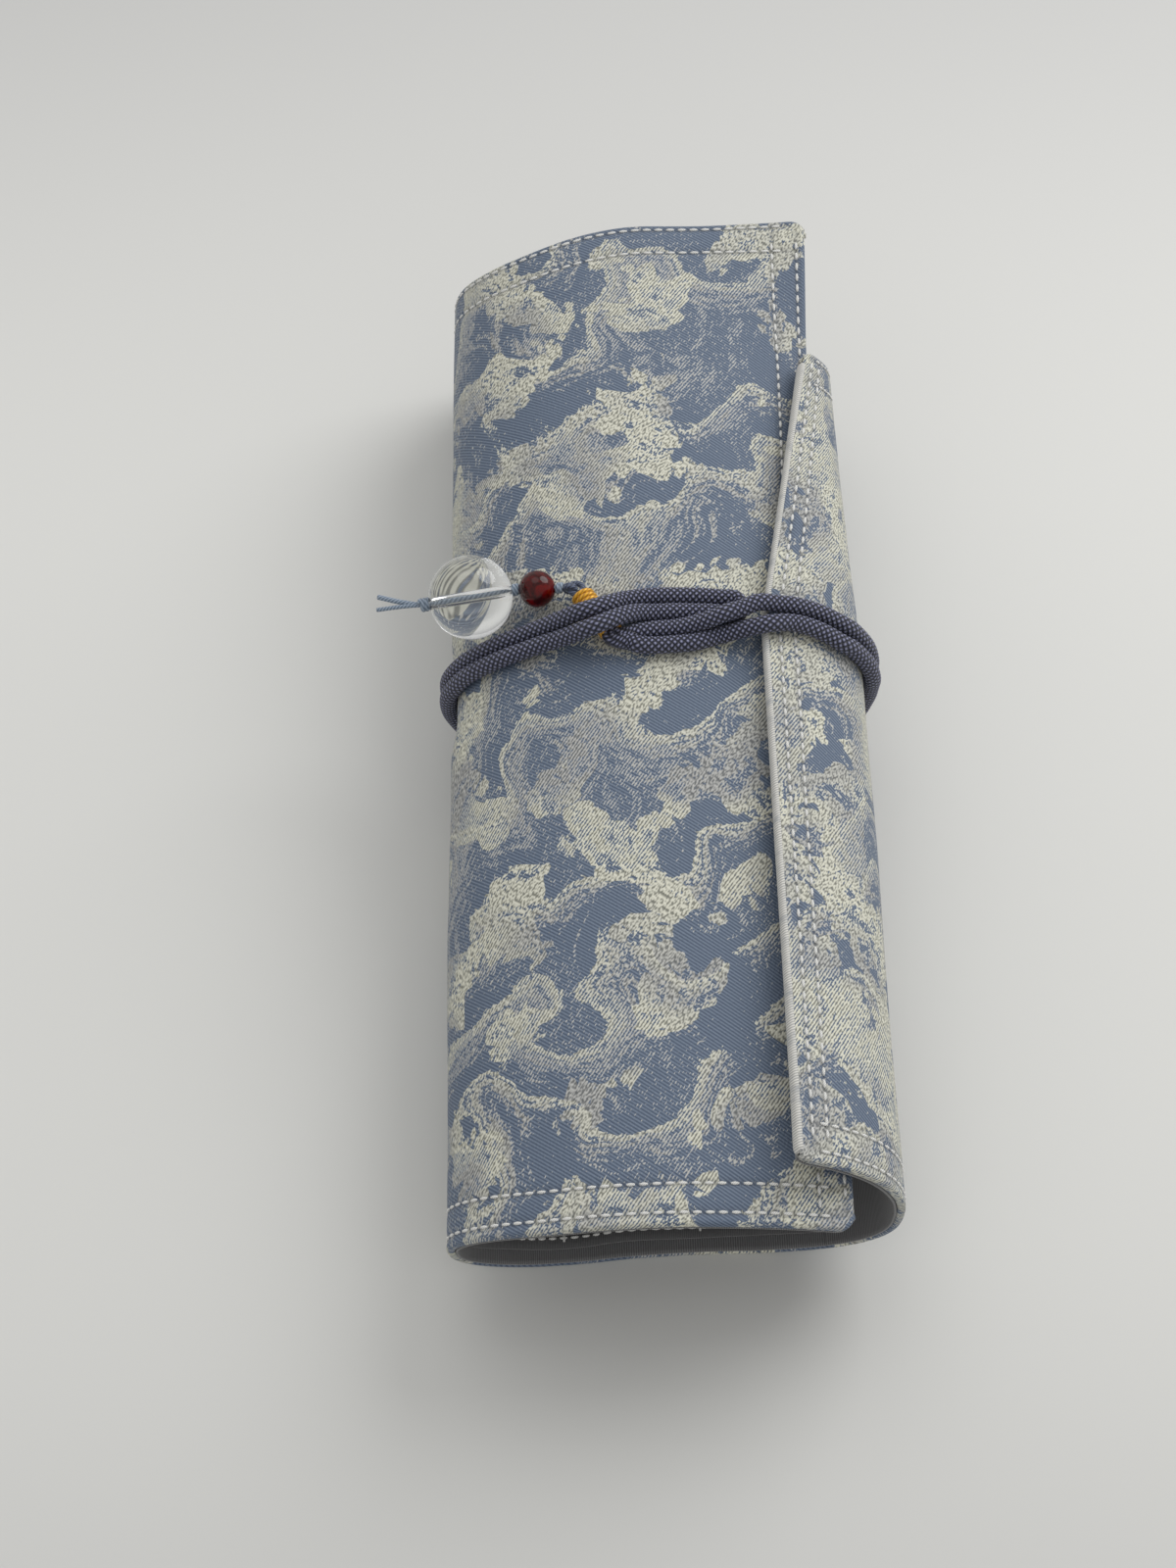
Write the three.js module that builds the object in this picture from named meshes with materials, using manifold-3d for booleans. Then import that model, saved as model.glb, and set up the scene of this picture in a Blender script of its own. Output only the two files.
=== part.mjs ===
// Rolled brocade pen pouch, tied with one doubled braided cord that carries a bead pendant.
// Millimetres, +Z up. The roll lies along Y with its underside on Z = 0, its opening end
// towards -Y, and its closing flap comes over the right side (+X) onto the top.

import * as THREE from 'three';
import { mergeVertices } from 'three/addons/utils/BufferGeometryUtils.js';
import Module from 'manifold-3d';

const wasm = await Module();
wasm.setup();

// Roll
const rollWidth = 80.6;
const rollHeight = 48;
const endRise = 8;
const limbShare = 0.52;
const lowerSquareness = 2.4;
const upperSquareness = 2.05;
const farNarrowing = 2.3;
const narrowingRun = 90;
const bottomPress = 0.8;

// Cloth, measured as it was cut
const clothLength = 213;
const windDrift = 8;
const bottomNearEdge = -101;
const hemWave = 1.6;
const farHollow = 2.6;
const topReachShare = 0.78;
const topReachSpread = 1.7;
const nearTuckDip = 4.2;
const tuckDip = 6.1;
const farTuckDip = -1.2;
const topCornerRadius = 3;
const pocketHeight = 150;
const pocketBulge = 2.2;
const pocketCount = 5;
const pocketHem = 2.5;

// Closing flap
const flapReachShare = 0.489;
const flapVeer = 10.6;
const flapVeerStart = 8;
const flapTaper = 41;
const flapTaperRun = 53;
const flapStandoff = 2;
const standoffRun = 76;
const flapSquareness = 3;
const flapSquarenessChange = 0.01;
const flapCornerRadius = 3;

// Layers, from the outside in
const brocadeThickness = 0.6;
const stiffenerThickness = 0.4;
const liningThickness = 0.5;
const pocketThickness = 0.5;
const layerGap = 0.3;
const stiffenerInset = 1.2;
const edgeRollWidth = 0.9;

// Cord and its whipping
const cordDiameter = 3.1;
const cordGap = 0.3;
const cordPlace = 5.6;
const cordSkew = 0.9;
const cordBite = 1.2;
const floorGap = 0.2;
const grooveRamp = 10;
const coreRadius = 1.1;
const whippingThread = 0.6;
const whippingTurns = 9;
const whippingPitch = 1.05;

// Pendant
const threadDiameter = 1.1;
const boreClearance = 0.3;
const redBeadDiameter = 7;
const crystalDiameter = 16.2;
const upperKnotDiameter = 2;
const middleKnotDiameter = 2.1;
const endKnotDiameter = 2.4;
const eyeRadius = 1.25;
const eyeThickness = 1;
const ringThickness = 0.75;
const restGap = 0.3;

const halfWidth = rollWidth / 2;
const halfLength = clothLength / 2;
const cordRadius = cordDiameter / 2;
const strandOffset = (cordDiameter + cordGap) / 2;
const clothStack = brocadeThickness + stiffenerThickness + liningThickness + 2 * layerGap;
const liningDepth = brocadeThickness + stiffenerThickness + 2 * layerGap;

function clamp01(value) {
  return Math.min(1, Math.max(0, value));
}

function smooth(value) {
  const t = clamp01(value);
  return t * t * (3 - 2 * t);
}

function signedPower(value, exponent) {
  return Math.sign(value) * Math.abs(value) ** exponent;
}

// Height of the top panel, and of the widest place of the roll, at one station along the axis
function topHeight(y) {
  return rollHeight + endRise * y / halfLength;
}

function limbHeight(y) {
  return limbShare * topHeight(y);
}

// Band of the roll under the cord: 1 where the strands lie, falling to 0 beside them
const bandHalf = strandOffset + cordRadius + cordGap + cordSkew;

function cordBand(y) {
  return 1 - smooth((Math.abs(y - cordPlace) - bandHalf) / grooveRamp);
}

// The cloth rides over the cord on the underside, so the cord stays just off the table
function restHeight(y) {
  return (cordDiameter + cordGap + floorGap) * cordBand(y);
}

// Half-widths: the cord draws the left side in, and the right side narrows at the far end
function rightWidth(y) {
  return halfWidth - farNarrowing * smooth(y / narrowingRun);
}

function leftWidth(y) {
  return halfWidth - cordBite * cordBand(y);
}

// Right-hand part of the top panel, which dips to pass under the flap
function panelReach(y) {
  return topReachShare * halfWidth + topReachSpread * y / halfLength;
}

function panelDip(y) {
  const flapEnd = halfLength - flapTaper;
  const tucked = nearTuckDip + (tuckDip - nearTuckDip) * smooth(1 + y / halfLength);
  return tucked + (farTuckDip - tucked) * smooth((y - flapEnd) / (halfLength - flapEnd));
}

function panelHeight(x, y) {
  return topHeight(y) - panelDip(y) * (Math.max(0, x) / panelReach(y)) ** 2.2;
}

// Closing flap: its free edge runs straight beside the axis, then veers away at the far side
function flapEdge(y) {
  const run = halfLength - flapTaper - flapVeerStart;
  return flapReachShare * halfWidth + flapVeer * Math.max(0, (y - flapVeerStart) / run);
}

function flapPower(y) {
  return flapSquareness + flapSquarenessChange * y;
}

function flapEdgeHeight(y) {
  return topHeight(y) + flapStandoff * Math.exp(-y / standoffRun);
}

// Outline stations: dense points of one section, in order of travel from the flap's free
// edge over the right side, under the roll, up the left side and across the top
const arcSteps = 60;

function flapSection(y) {
  const power = flapPower(y);
  const limb = limbHeight(y);
  const width = rightWidth(y);
  const start = Math.acos((flapEdge(y) / width) ** (power / 2));
  const crown = (flapEdgeHeight(y) - limb) / Math.sin(start) ** (2 / power);
  const points = [];
  for (let i = 0; i <= arcSteps; i += 1) {
    const angle = start * (1 - i / arcSteps);
    const x = width * Math.cos(angle) ** (2 / power);
    const z = limb + crown * signedPower(Math.sin(angle), 2 / power);
    points.push([x, z]);
  }
  return points;
}

function bodySection(y) {
  const limb = limbHeight(y);
  const points = [];
  for (let i = 0; i <= 2 * arcSteps; i += 1) {
    const angle = Math.PI * i / (2 * arcSteps);
    const width = i < arcSteps ? rightWidth(y) : leftWidth(y);
    const x = width * signedPower(Math.cos(angle), 2 / lowerSquareness);
    const drop = (limb + bottomPress) * Math.sin(angle) ** (2 / lowerSquareness);
    points.push([x, Math.max(restHeight(y), limb - drop)]);
  }
  for (let i = 1; i <= arcSteps; i += 1) {
    const angle = Math.PI / 2 * i / arcSteps;
    const x = -leftWidth(y) * Math.max(0, Math.cos(angle)) ** (2 / upperSquareness);
    const rise = (topHeight(y) - limb) * Math.sin(angle) ** (2 / upperSquareness);
    points.push([x, limb + rise]);
  }
  for (let i = 1; i <= arcSteps; i += 1) {
    const x = panelReach(y) * i / arcSteps;
    points.push([x, panelHeight(x, y)]);
  }
  return points;
}

// A section measured by arc length, with a smoothed outward normal at every place on it
class Section {
  constructor(points) {
    this.points = points;
    this.lengths = [0];
    for (let i = 1; i < points.length; i += 1) {
      const step = Math.hypot(points[i][0] - points[i - 1][0], points[i][1] - points[i - 1][1]);
      this.lengths.push(this.lengths[i - 1] + step);
    }
    this.total = this.lengths[this.lengths.length - 1];
  }

  place(distance) {
    const s = Math.min(this.total, Math.max(0, distance));
    let i = 1;
    while (i < this.lengths.length - 1 && this.lengths[i] < s) i += 1;
    const share = (s - this.lengths[i - 1]) / (this.lengths[i] - this.lengths[i - 1] || 1);
    const [a, b] = [this.points[i - 1], this.points[i]];
    return [a[0] + (b[0] - a[0]) * share, a[1] + (b[1] - a[1]) * share];
  }

  at(fraction) {
    const reach = 1.5;
    const s = fraction * this.total;
    const [x, z] = this.place(s);
    const before = this.place(s - reach);
    const after = this.place(s + reach);
    const length = Math.hypot(after[0] - before[0], after[1] - before[1]);
    return {
      x,
      z,
      nx: -(after[1] - before[1]) / length,
      nz: (after[0] - before[0]) / length,
    };
  }
}

// Edges of the cloth: both ends drift as the roll is wound a little askew, and the flap's
// far side is cut away on a long curve
const bodyArc = new Section(bodySection(0)).total;
const flapArc = new Section(flapSection(0)).total;

function cornerInset(distance, radius) {
  if (distance >= radius) return 0;
  return radius - Math.sqrt(Math.max(0, radius ** 2 - (radius - distance) ** 2));
}

function taperAt(distance) {
  return flapTaper * Math.exp(-((distance / flapTaperRun) ** 2));
}

function windShift(fraction) {
  const wave = hemWave * Math.sin(Math.PI * clamp01(fraction / 0.45)) ** 2;
  return wave - windDrift * smooth((fraction - 0.32) / 0.42);
}

function bodyNearEdge(fraction) {
  const corner = cornerInset((1 - fraction) * bodyArc, topCornerRadius);
  return bottomNearEdge + windShift(fraction) + corner;
}

function bodyFarEdge(fraction) {
  const taper = taperAt(flapArc + fraction * bodyArc);
  const hollow = farHollow * Math.sin(Math.PI * clamp01((fraction - 0.52) / 0.32)) ** 2;
  const corner = cornerInset((1 - fraction) * bodyArc, topCornerRadius);
  return bottomNearEdge + windShift(fraction) + clothLength - taper - hollow - corner;
}

function flapNearEdge(fraction) {
  return bottomNearEdge + cornerInset(fraction * flapArc, flapCornerRadius) / 2;
}

function flapFarEdge(fraction) {
  const corner = cornerInset(fraction * flapArc, flapCornerRadius);
  return bottomNearEdge + clothLength - taperAt(fraction * flapArc) - corner;
}

// Rows of a sheet: evenly from each end to the ramps of the cord's groove, and across it
const groove = { near: cordPlace - bandHalf, far: cordPlace + bandHalf };

function rowPlaces(nearEdge, farEdge) {
  const rampStart = groove.near - grooveRamp;
  const rampEnd = groove.far + grooveRamp;
  const places = [];
  for (const share of [0, 0.08, 0.36, 0.7]) {
    places.push(nearEdge + (rampStart - nearEdge) * share);
  }
  places.push(rampStart, groove.near, groove.far, rampEnd);
  for (const share of [0.35, 0.7, 1]) {
    places.push(rampEnd + (farEdge - rampEnd) * share);
  }
  return places;
}

// A closed solid from two matching grids of points, one on each face of a sheet
function sheetSolid(outer, inner) {
  const columns = outer.length;
  const rows = outer[0].length;
  const vertices = [];
  const index = (side, i, j) => side * columns * rows + i * rows + j;
  for (const grid of [outer, inner]) {
    for (const column of grid) {
      for (const point of column) vertices.push(point.x, point.y, point.z);
    }
  }
  const triangles = [];
  const quad = (a, b, c, d) => triangles.push(a, c, b, a, d, c);
  for (let i = 0; i < columns - 1; i += 1) {
    for (let j = 0; j < rows - 1; j += 1) {
      quad(index(0, i, j), index(0, i, j + 1), index(0, i + 1, j + 1), index(0, i + 1, j));
      quad(index(1, i, j), index(1, i + 1, j), index(1, i + 1, j + 1), index(1, i, j + 1));
    }
    const last = rows - 1;
    quad(index(0, i, 0), index(0, i + 1, 0), index(1, i + 1, 0), index(1, i, 0));
    quad(index(0, i, last), index(1, i, last), index(1, i + 1, last), index(0, i + 1, last));
  }
  for (let j = 0; j < rows - 1; j += 1) {
    const last = columns - 1;
    quad(index(0, 0, j), index(1, 0, j), index(1, 0, j + 1), index(0, 0, j + 1));
    quad(index(0, last, j), index(0, last, j + 1), index(1, last, j + 1), index(1, last, j));
  }
  const geometry = new THREE.BufferGeometry();
  geometry.setAttribute('position', new THREE.Float32BufferAttribute(vertices, 3));
  geometry.setIndex(triangles);
  return geometry;
}

// Grid of points on a cloth layer, at a depth below the outer face of the brocade
function layerGrid(sectionAt, fractions, edges, depth, inset) {
  return fractions.map((fraction) => {
    const rows = rowPlaces(edges.near(fraction) + inset, edges.far(fraction) - inset);
    return rows.map((y) => {
      const spot = new Section(sectionAt(y)).at(fraction);
      const under = typeof depth === 'function' ? depth(fraction, y) : depth;
      return new THREE.Vector3(spot.x - spot.nx * under, y, spot.z - spot.nz * under);
    });
  });
}

function evenFractions(from, to, count) {
  return Array.from({ length: count + 1 }, (_, i) => from + (to - from) * i / count);
}

const splitShare = layerGap / 2 / bodyArc;
const bodyFractions = [
  ...evenFractions(splitShare, 0.965, 34),
  1 - 0.5 * topCornerRadius / bodyArc,
  1,
];
const edgeShare = (edgeRollWidth + layerGap) / flapArc;
const flapFractions = [
  edgeShare,
  edgeShare + 0.5 * flapCornerRadius / flapArc,
  ...evenFractions(0.18, 1 - layerGap / 2 / flapArc, 7),
];
const bodyEdges = { near: bodyNearEdge, far: bodyFarEdge };
const flapEdges = { near: flapNearEdge, far: flapFarEdge };

function bodyLayer(depth, thickness, inset = 0) {
  const fractions = inset > 0
    ? bodyFractions.map((f) => Math.min(f, 1 - inset / bodyArc))
    : bodyFractions;
  return sheetSolid(
    layerGrid(bodySection, fractions, bodyEdges, depth, inset),
    layerGrid(bodySection, fractions, bodyEdges, depth + thickness, inset),
  );
}

function flapLayer(depth, thickness, inset = 0) {
  const fractions = inset > 0
    ? flapFractions.map((f) => Math.max(f, edgeShare + inset / flapArc * (1 - f)))
    : flapFractions;
  return sheetSolid(
    layerGrid(flapSection, fractions, flapEdges, depth, inset),
    layerGrid(flapSection, fractions, flapEdges, depth + thickness, inset),
  );
}

// Rolled edge that closes the layers along the flap's free edge
function flapEdgeRoll() {
  const rows = rowPlaces(flapNearEdge(edgeShare), flapFarEdge(edgeShare));
  const grid = (depth, bulge) => [0, 0.5, 1].map((across) => rows.map((y) => {
    const section = new Section(flapSection(y));
    const spot = section.at(across * edgeRollWidth / section.total);
    const crown = bulge * (1 - across);
    const under = depth + crown * (clothStack / 2 - depth) / clothStack;
    return new THREE.Vector3(spot.x - spot.nx * under, y, spot.z - spot.nz * under);
  }));
  return sheetSolid(grid(0, 0.6), grid(clothStack, 0.6));
}

// Pocket panel: stitched down between shallow channels along the inside of the roll
function pocketPanel() {
  const first = 4;
  const fractions = bodyFractions.slice(first, first + 5 * pocketCount + 1);
  const [pocketStart, pocketEnd] = [fractions[0], fractions[fractions.length - 1]];
  const puff = (fraction, y) => {
    const along = (fraction - pocketStart) / (pocketEnd - pocketStart) * pocketCount;
    const mouth = smooth((y - bottomNearEdge) / (pocketHeight / 2));
    return pocketBulge * (0.35 + 0.65 * mouth) * Math.sin(Math.PI * (along % 1)) ** 2;
  };
  const top = liningDepth + liningThickness + layerGap;
  const edges = {
    near: (fraction) => bodyNearEdge(fraction) + pocketHem,
    far: (fraction) => bodyNearEdge(fraction) + pocketHem + pocketHeight,
  };
  const outer = layerGrid(bodySection, fractions, edges, (f, y) => top + puff(f, y), 0);
  const inner = layerGrid(
    bodySection,
    fractions,
    edges,
    (f, y) => top + puff(f, y) + pocketThickness,
    0,
  );
  return sheetSolid(outer, inner);
}

// Outer face of the cloth seen from above: the flap where it lies, the top panel elsewhere,
// with a short bridge where a cord steps up onto the flap
function clothTop(x, y) {
  const limb = limbHeight(y);
  if (x <= 0) {
    const across = Math.min(1, Math.abs(x) / leftWidth(y)) ** upperSquareness;
    return limb + (topHeight(y) - limb) * (1 - across) ** (1 / upperSquareness);
  }
  const edge = flapEdge(y);
  const power = flapPower(y);
  const width = rightWidth(y);
  const crown = (flapEdgeHeight(y) - limb) / (1 - (edge / width) ** power) ** (1 / power);
  const onFlap = (place) => {
    const across = Math.min(1, place / width) ** power;
    return limb + crown * (1 - across) ** (1 / power);
  };
  const bridge = 5;
  const share = smooth((x - edge + bridge) / bridge);
  return panelHeight(Math.min(x, edge), y) * (1 - share) + onFlap(Math.max(x, edge)) * share;
}

// A point that a round thing of the given radius takes when it lies on the cloth at (x, y).
// The crossing at the top is given by its place across, in half-widths of the roll, its place
// along and its lift, in cord diameters.
function onCloth(x, y, radius, lift = 0) {
  const slope = (clothTop(x + 0.5, y) - clothTop(x - 0.5, y));
  const normal = new THREE.Vector2(-slope, 1).normalize();
  const away = cordGap + radius + lift;
  return new THREE.Vector3(x + normal.x * away, y, clothTop(x, y) + normal.y * away);
}

function crossing([across, along, lift = 0], radius = cordRadius) {
  const y = cordPlace + along * cordDiameter;
  return onCloth(across * halfWidth, y, radius, lift * cordDiameter);
}

// Part of a cord strand that follows the section of the roll, between two shares of it
function strandRound(offset, from, to, count) {
  return evenFractions(from, to, count).map((fraction) => {
    const y = cordPlace + offset + cordSkew * (1 - 2 * fraction / to);
    const spot = new Section(bodySection(y)).at(fraction);
    const away = cordGap + cordRadius;
    return new THREE.Vector3(spot.x + spot.nx * away, y, spot.z + spot.nz * away);
  });
}

function circleShape(radius, sides) {
  const shape = new THREE.Shape();
  for (let i = 0; i < sides; i += 1) {
    const angle = 2 * Math.PI * i / sides;
    const point = [radius * Math.cos(angle), radius * Math.sin(angle)];
    if (i === 0) shape.moveTo(...point);
    else shape.lineTo(...point);
  }
  shape.closePath();
  return shape;
}

function tube(points, radius, sides, steps) {
  const path = new THREE.CatmullRomCurve3(points, false, 'centripetal');
  return new THREE.ExtrudeGeometry(circleShape(radius, sides), {
    steps,
    bevelEnabled: false,
    extrudePath: path,
    curveSegments: 1,
  });
}

// Joining closed meshes
function toSolid(geometry) {
  const bare = geometry.clone();
  bare.deleteAttribute('normal');
  bare.deleteAttribute('uv');
  const merged = mergeVertices(bare, 1e-4);
  return new wasm.Manifold(new wasm.Mesh({
    numProp: 3,
    vertProperties: new Float32Array(merged.attributes.position.array),
    triVerts: new Uint32Array(merged.index.array),
  }));
}

function toGeometry(solid) {
  const mesh = solid.getMesh();
  const geometry = new THREE.BufferGeometry();
  geometry.setAttribute('position', new THREE.Float32BufferAttribute(mesh.vertProperties, 3));
  geometry.setIndex(Array.from(mesh.triVerts));
  return geometry;
}

function joined(geometries) {
  return toGeometry(geometries.map(toSolid).reduce((sum, next) => sum.add(next)));
}

// Loop end of the cord: from the right side under the roll, up the left side, over the
// whipped end, round a bend under the other strands and all the way back
const leftShoulder = 0.63;
const loopFarLine = [
  [-0.693, 0.755, 0.065], [-0.618, 0.754, 0.097], [-0.539, 0.769, 0.258],
  [-0.458, 0.76, 0.613], [-0.378, 0.66, 1.16], [-0.321, 0.64, 1.5], [-0.271, 0.76, 1.53],
  [-0.223, 1.1, 1.25], [-0.169, 1.673, 0.645], [-0.097, 2.067, 0.226], [-0.022, 2.243, 0.065],
  [0.084, 2.282, 0.016], [0.183, 2.287, 0], [0.287, 2.26, 0],
];
const loopNearLine = [
  [-0.693, -0.379, 0.065], [-0.618, -0.369, 0.097], [-0.542, -0.331, 0.194],
  [-0.464, -0.36, 0.387], [-0.385, -0.451, 0.806], [-0.307, -0.566, 1.38],
  [-0.256, -0.455, 1.54], [-0.215, -0.2, 1.47], [-0.158, 0.36, 1.05], [-0.099, 0.86, 0.48],
  [-0.025, 1.07, 0.097], [0.08, 1.153, 0.032], [0.18, 1.168, 0], [0.252, 1.182, 0],
];
const loopBend = { across: 0.338, along: 1.66, radius: 0.62 };

function cordLoop() {
  const far = loopFarLine.map((place) => crossing(place));
  const near = loopNearLine.map((place) => crossing(place));
  const bend = [-70, -25, 25, 70].map((degrees) => {
    const angle = THREE.MathUtils.degToRad(degrees);
    const reach = loopBend.radius * cordDiameter / halfWidth;
    const across = loopBend.across + reach * Math.cos(angle);
    return crossing([across, loopBend.along + loopBend.radius * Math.sin(angle)]);
  });
  const nearRound = strandRound(-strandOffset, splitShare, leftShoulder, 26);
  const farRound = strandRound(strandOffset, splitShare, leftShoulder, 26);
  const points = [...nearRound, ...near, ...bend, ...far.reverse(), ...farRound.reverse()];
  return tube(points, cordRadius, 8, 140);
}

// Tail end of the cord: two strands from the right side over the flap and over the loop's
// bend, bound together in a whipped core that lies under the loop
const tailFarLine = [
  [0.843, 1.016, 0], [0.732, 1.231, 0], [0.628, 1.312, 0.065], [0.545, 1.26, 0.1],
  [0.485, 1.12, 0.4], [0.352, 0.66, 1.3], [0.296, 0.42, 1.22], [0.238, 0.22, 0.85],
  [0.166, 0.12, 0.36], [0.077, 0.02, 0.032], [-0.02, -0.06, 0], [-0.08, -0.16, 0],
];
const tailNearLine = [
  [0.835, -0.4, 0], [0.725, -0.054, 0], [0.615, 0.098, 0], [0.501, -0.196, 0.065],
  [0.279, -0.4, 0], [0.165, -0.93, 0], [0.075, -1.09, 0], [-0.024, -1.17, 0],
  [-0.092, -1.08, 0], [-0.134, -0.86, 0],
];
const coreStart = [-0.2, -0.551];
const coreEnd = [-0.354, 2.817];
const whippingRadius = coreRadius + cordGap + whippingThread;

function flapStrand(y) {
  const section = new Section(flapSection(y));
  return [0.985, 0.9, 0.78, 0.64, 0.48].map((fraction) => {
    const spot = section.at(fraction);
    const away = cordGap + cordRadius;
    return new THREE.Vector3(spot.x + spot.nx * away, y, spot.z + spot.nz * away);
  });
}

function corePoint(share) {
  const across = coreStart[0] + (coreEnd[0] - coreStart[0]) * share;
  const along = coreStart[1] + (coreEnd[1] - coreStart[1]) * share;
  return crossing([across, along], whippingRadius);
}

const eyeCentre = corePoint(1).addScaledVector(
  corePoint(1).sub(corePoint(0)).setZ(0).normalize(),
  eyeRadius,
);

function cordTail() {
  const meet = corePoint(0.03);
  const strands = [
    [cordPlace + cordSkew + strandOffset, tailFarLine],
    [cordPlace + cordSkew - strandOffset, tailNearLine],
  ].map(([y, line]) => {
    const over = line.map((place) => crossing(place));
    const round = flapStrand(y);
    round.forEach((point, i) => {
      point.y += (over[0].y - y) * smooth((i + 1) / (round.length + 1));
    });
    return tube([...round, ...over, meet], cordRadius, 8, 34);
  });
  const core = tube([corePoint(0), corePoint(0.5), corePoint(1)], coreRadius, 8, 4);
  const eye = new THREE.TorusGeometry(eyeRadius, eyeThickness / 2, 8, 16);
  eye.translate(eyeCentre.x, eyeCentre.y, eyeCentre.z);
  return joined([...strands, core, eye]);
}

// Gold thread wound round the core, as one helix
class Helix extends THREE.Curve {
  constructor(start, end, radius, turns) {
    super();
    this.start = start;
    this.axis = end.clone().sub(start);
    const direction = this.axis.clone().normalize();
    this.side = new THREE.Vector3(0, 0, 1).cross(direction).normalize();
    this.up = direction.cross(this.side).normalize();
    this.radius = radius;
    this.turns = turns;
  }

  getPoint(t) {
    const angle = 2 * Math.PI * this.turns * t;
    return this.start.clone()
      .addScaledVector(this.axis, t)
      .addScaledVector(this.side, this.radius * Math.cos(angle))
      .addScaledVector(this.up, this.radius * Math.sin(angle));
  }
}

// Least gap between one turn and the next, on points of the thread's middle line
function leastTurnGap(line, turns, thread) {
  const perTurn = 60;
  const points = line.getPoints(turns * perTurn);
  let least = Infinity;
  for (let i = 0; i < points.length; i += 1) {
    for (let j = i + perTurn / 2; j < points.length; j += 1) {
      least = Math.min(least, points[i].distanceTo(points[j]));
    }
  }
  return least - thread;
}

function whipping() {
  const from = corePoint(0.14);
  const direction = corePoint(1).sub(from).normalize();
  const to = from.clone().addScaledVector(direction, whippingTurns * whippingPitch);
  const radius = coreRadius + cordGap + whippingThread / 2;
  const line = new Helix(from, to, radius, whippingTurns);
  const gap = leastTurnGap(line, whippingTurns, whippingThread);
  console.log(`gold_whipping: least gap between its turns ${gap.toFixed(3)} mm`);
  return new THREE.ExtrudeGeometry(circleShape(whippingThread / 2, 6), {
    steps: whippingTurns * 24,
    bevelEnabled: false,
    extrudePath: line,
  });
}

// Pendant: two straight runs of thread with a bead on each, knotted at both ends and at the
// bend between them. Its heights come from the cloth that the beads lie on.
function beadCentre(x, y, radius) {
  let z = clothTop(x, y) + radius;
  const clear = radius + restGap;
  for (let step = 0; step < 400; step += 1) {
    let nearest = Infinity;
    for (let place = x - radius; place <= x + radius; place += 0.5) {
      const reached = Math.max(place, -halfWidth);
      nearest = Math.min(nearest, Math.hypot(place - x, z - clothTop(reached, y)));
    }
    if (nearest >= clear) break;
    z += 0.05;
  }
  return new THREE.Vector3(x, y, z);
}

const pendantPlace = cordPlace + 3.35 * cordDiameter;
const pendantDrop = 0.18 * cordDiameter;
const redBeadStart = eyeCentre.x - 2 * eyeRadius - 0.75 * upperKnotDiameter;
const redBead = beadCentre(
  redBeadStart - redBeadDiameter / 2,
  pendantPlace,
  redBeadDiameter / 2,
);
const crystalBead = beadCentre(
  redBead.x - (redBeadDiameter + crystalDiameter) / 2 - 0.55 * middleKnotDiameter,
  pendantPlace - pendantDrop,
  crystalDiameter / 2,
);
const ringDirection = redBead.clone().sub(eyeCentre).setZ(0).normalize();
const ringCentre = eyeCentre.clone().addScaledVector(ringDirection, eyeRadius);
const ringReach = eyeRadius + 0.4 * upperKnotDiameter;
const upperKnot = ringCentre.clone().addScaledVector(ringDirection, ringReach);
const redReach = (redBeadDiameter + middleKnotDiameter) / 2 * 0.94;
const crystalReach = (crystalDiameter + endKnotDiameter) / 2 * 0.96;
const redAxis = redBead.clone().sub(upperKnot).normalize();
const middleKnot = redBead.clone().addScaledVector(redAxis, redReach);
const crystalAxis = crystalBead.clone().sub(middleKnot).normalize();
const endKnot = crystalBead.clone().addScaledVector(crystalAxis, crystalReach);
const tailEnds = [new THREE.Vector3(-9.0, 2.4, -0.6), new THREE.Vector3(-9.2, 0.1, -1.6)];

function rod(from, to, radius, sides) {
  return tube([from, from.clone().lerp(to, 0.5), to], radius, sides, 2);
}

function knot(centre, diameter) {
  const geometry = new THREE.SphereGeometry(diameter / 2, 10, 7);
  geometry.rotateX(0.4);
  return geometry.translate(centre.x, centre.y, centre.z);
}

function beadThread() {
  const radius = threadDiameter / 2;
  const tails = tailEnds.map((reach) => {
    const tip = endKnot.clone().add(reach);
    const middle = endKnot.clone().lerp(tip, 0.5).add(new THREE.Vector3(0, -reach.y * 0.2, 0.3));
    return tube([endKnot, middle, tip], radius * 0.8, 6, 4);
  });
  const ring = new THREE.TorusGeometry(eyeRadius, ringThickness / 2, 8, 14);
  ring.rotateX(Math.PI / 2).rotateZ(Math.atan2(ringDirection.y, ringDirection.x));
  ring.translate(ringCentre.x, ringCentre.y, ringCentre.z);
  return joined([
    ring,
    rod(upperKnot, middleKnot, radius, 8),
    rod(middleKnot, endKnot, radius, 8),
    knot(upperKnot, upperKnotDiameter),
    knot(middleKnot, middleKnotDiameter),
    knot(endKnot, endKnotDiameter),
    ...tails,
  ]);
}

// A round bead with a straight bore, turned onto its thread
function bead(diameter, centre, axis, rings, segments) {
  const bore = threadDiameter / 2 + boreClearance;
  const radius = diameter / 2;
  const tip = Math.asin(bore / radius);
  const profile = [];
  for (let i = 0; i <= rings; i += 1) {
    const angle = tip + (Math.PI - 2 * tip) * i / rings;
    profile.push(new THREE.Vector2(radius * Math.sin(angle), -radius * Math.cos(angle)));
  }
  profile.push(profile[0].clone());
  const geometry = new THREE.LatheGeometry(profile, segments);
  const turn = new THREE.Quaternion().setFromUnitVectors(new THREE.Vector3(0, 1, 0), axis);
  return geometry.applyQuaternion(turn).translate(centre.x, centre.y, centre.z);
}

const pouch = new THREE.Group();

function add(name, geometry, color, roughness, metalness = 0) {
  const material = new THREE.MeshStandardMaterial({ color, roughness, metalness });
  const mesh = new THREE.Mesh(geometry, material);
  mesh.name = name;
  pouch.add(mesh);
}

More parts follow.
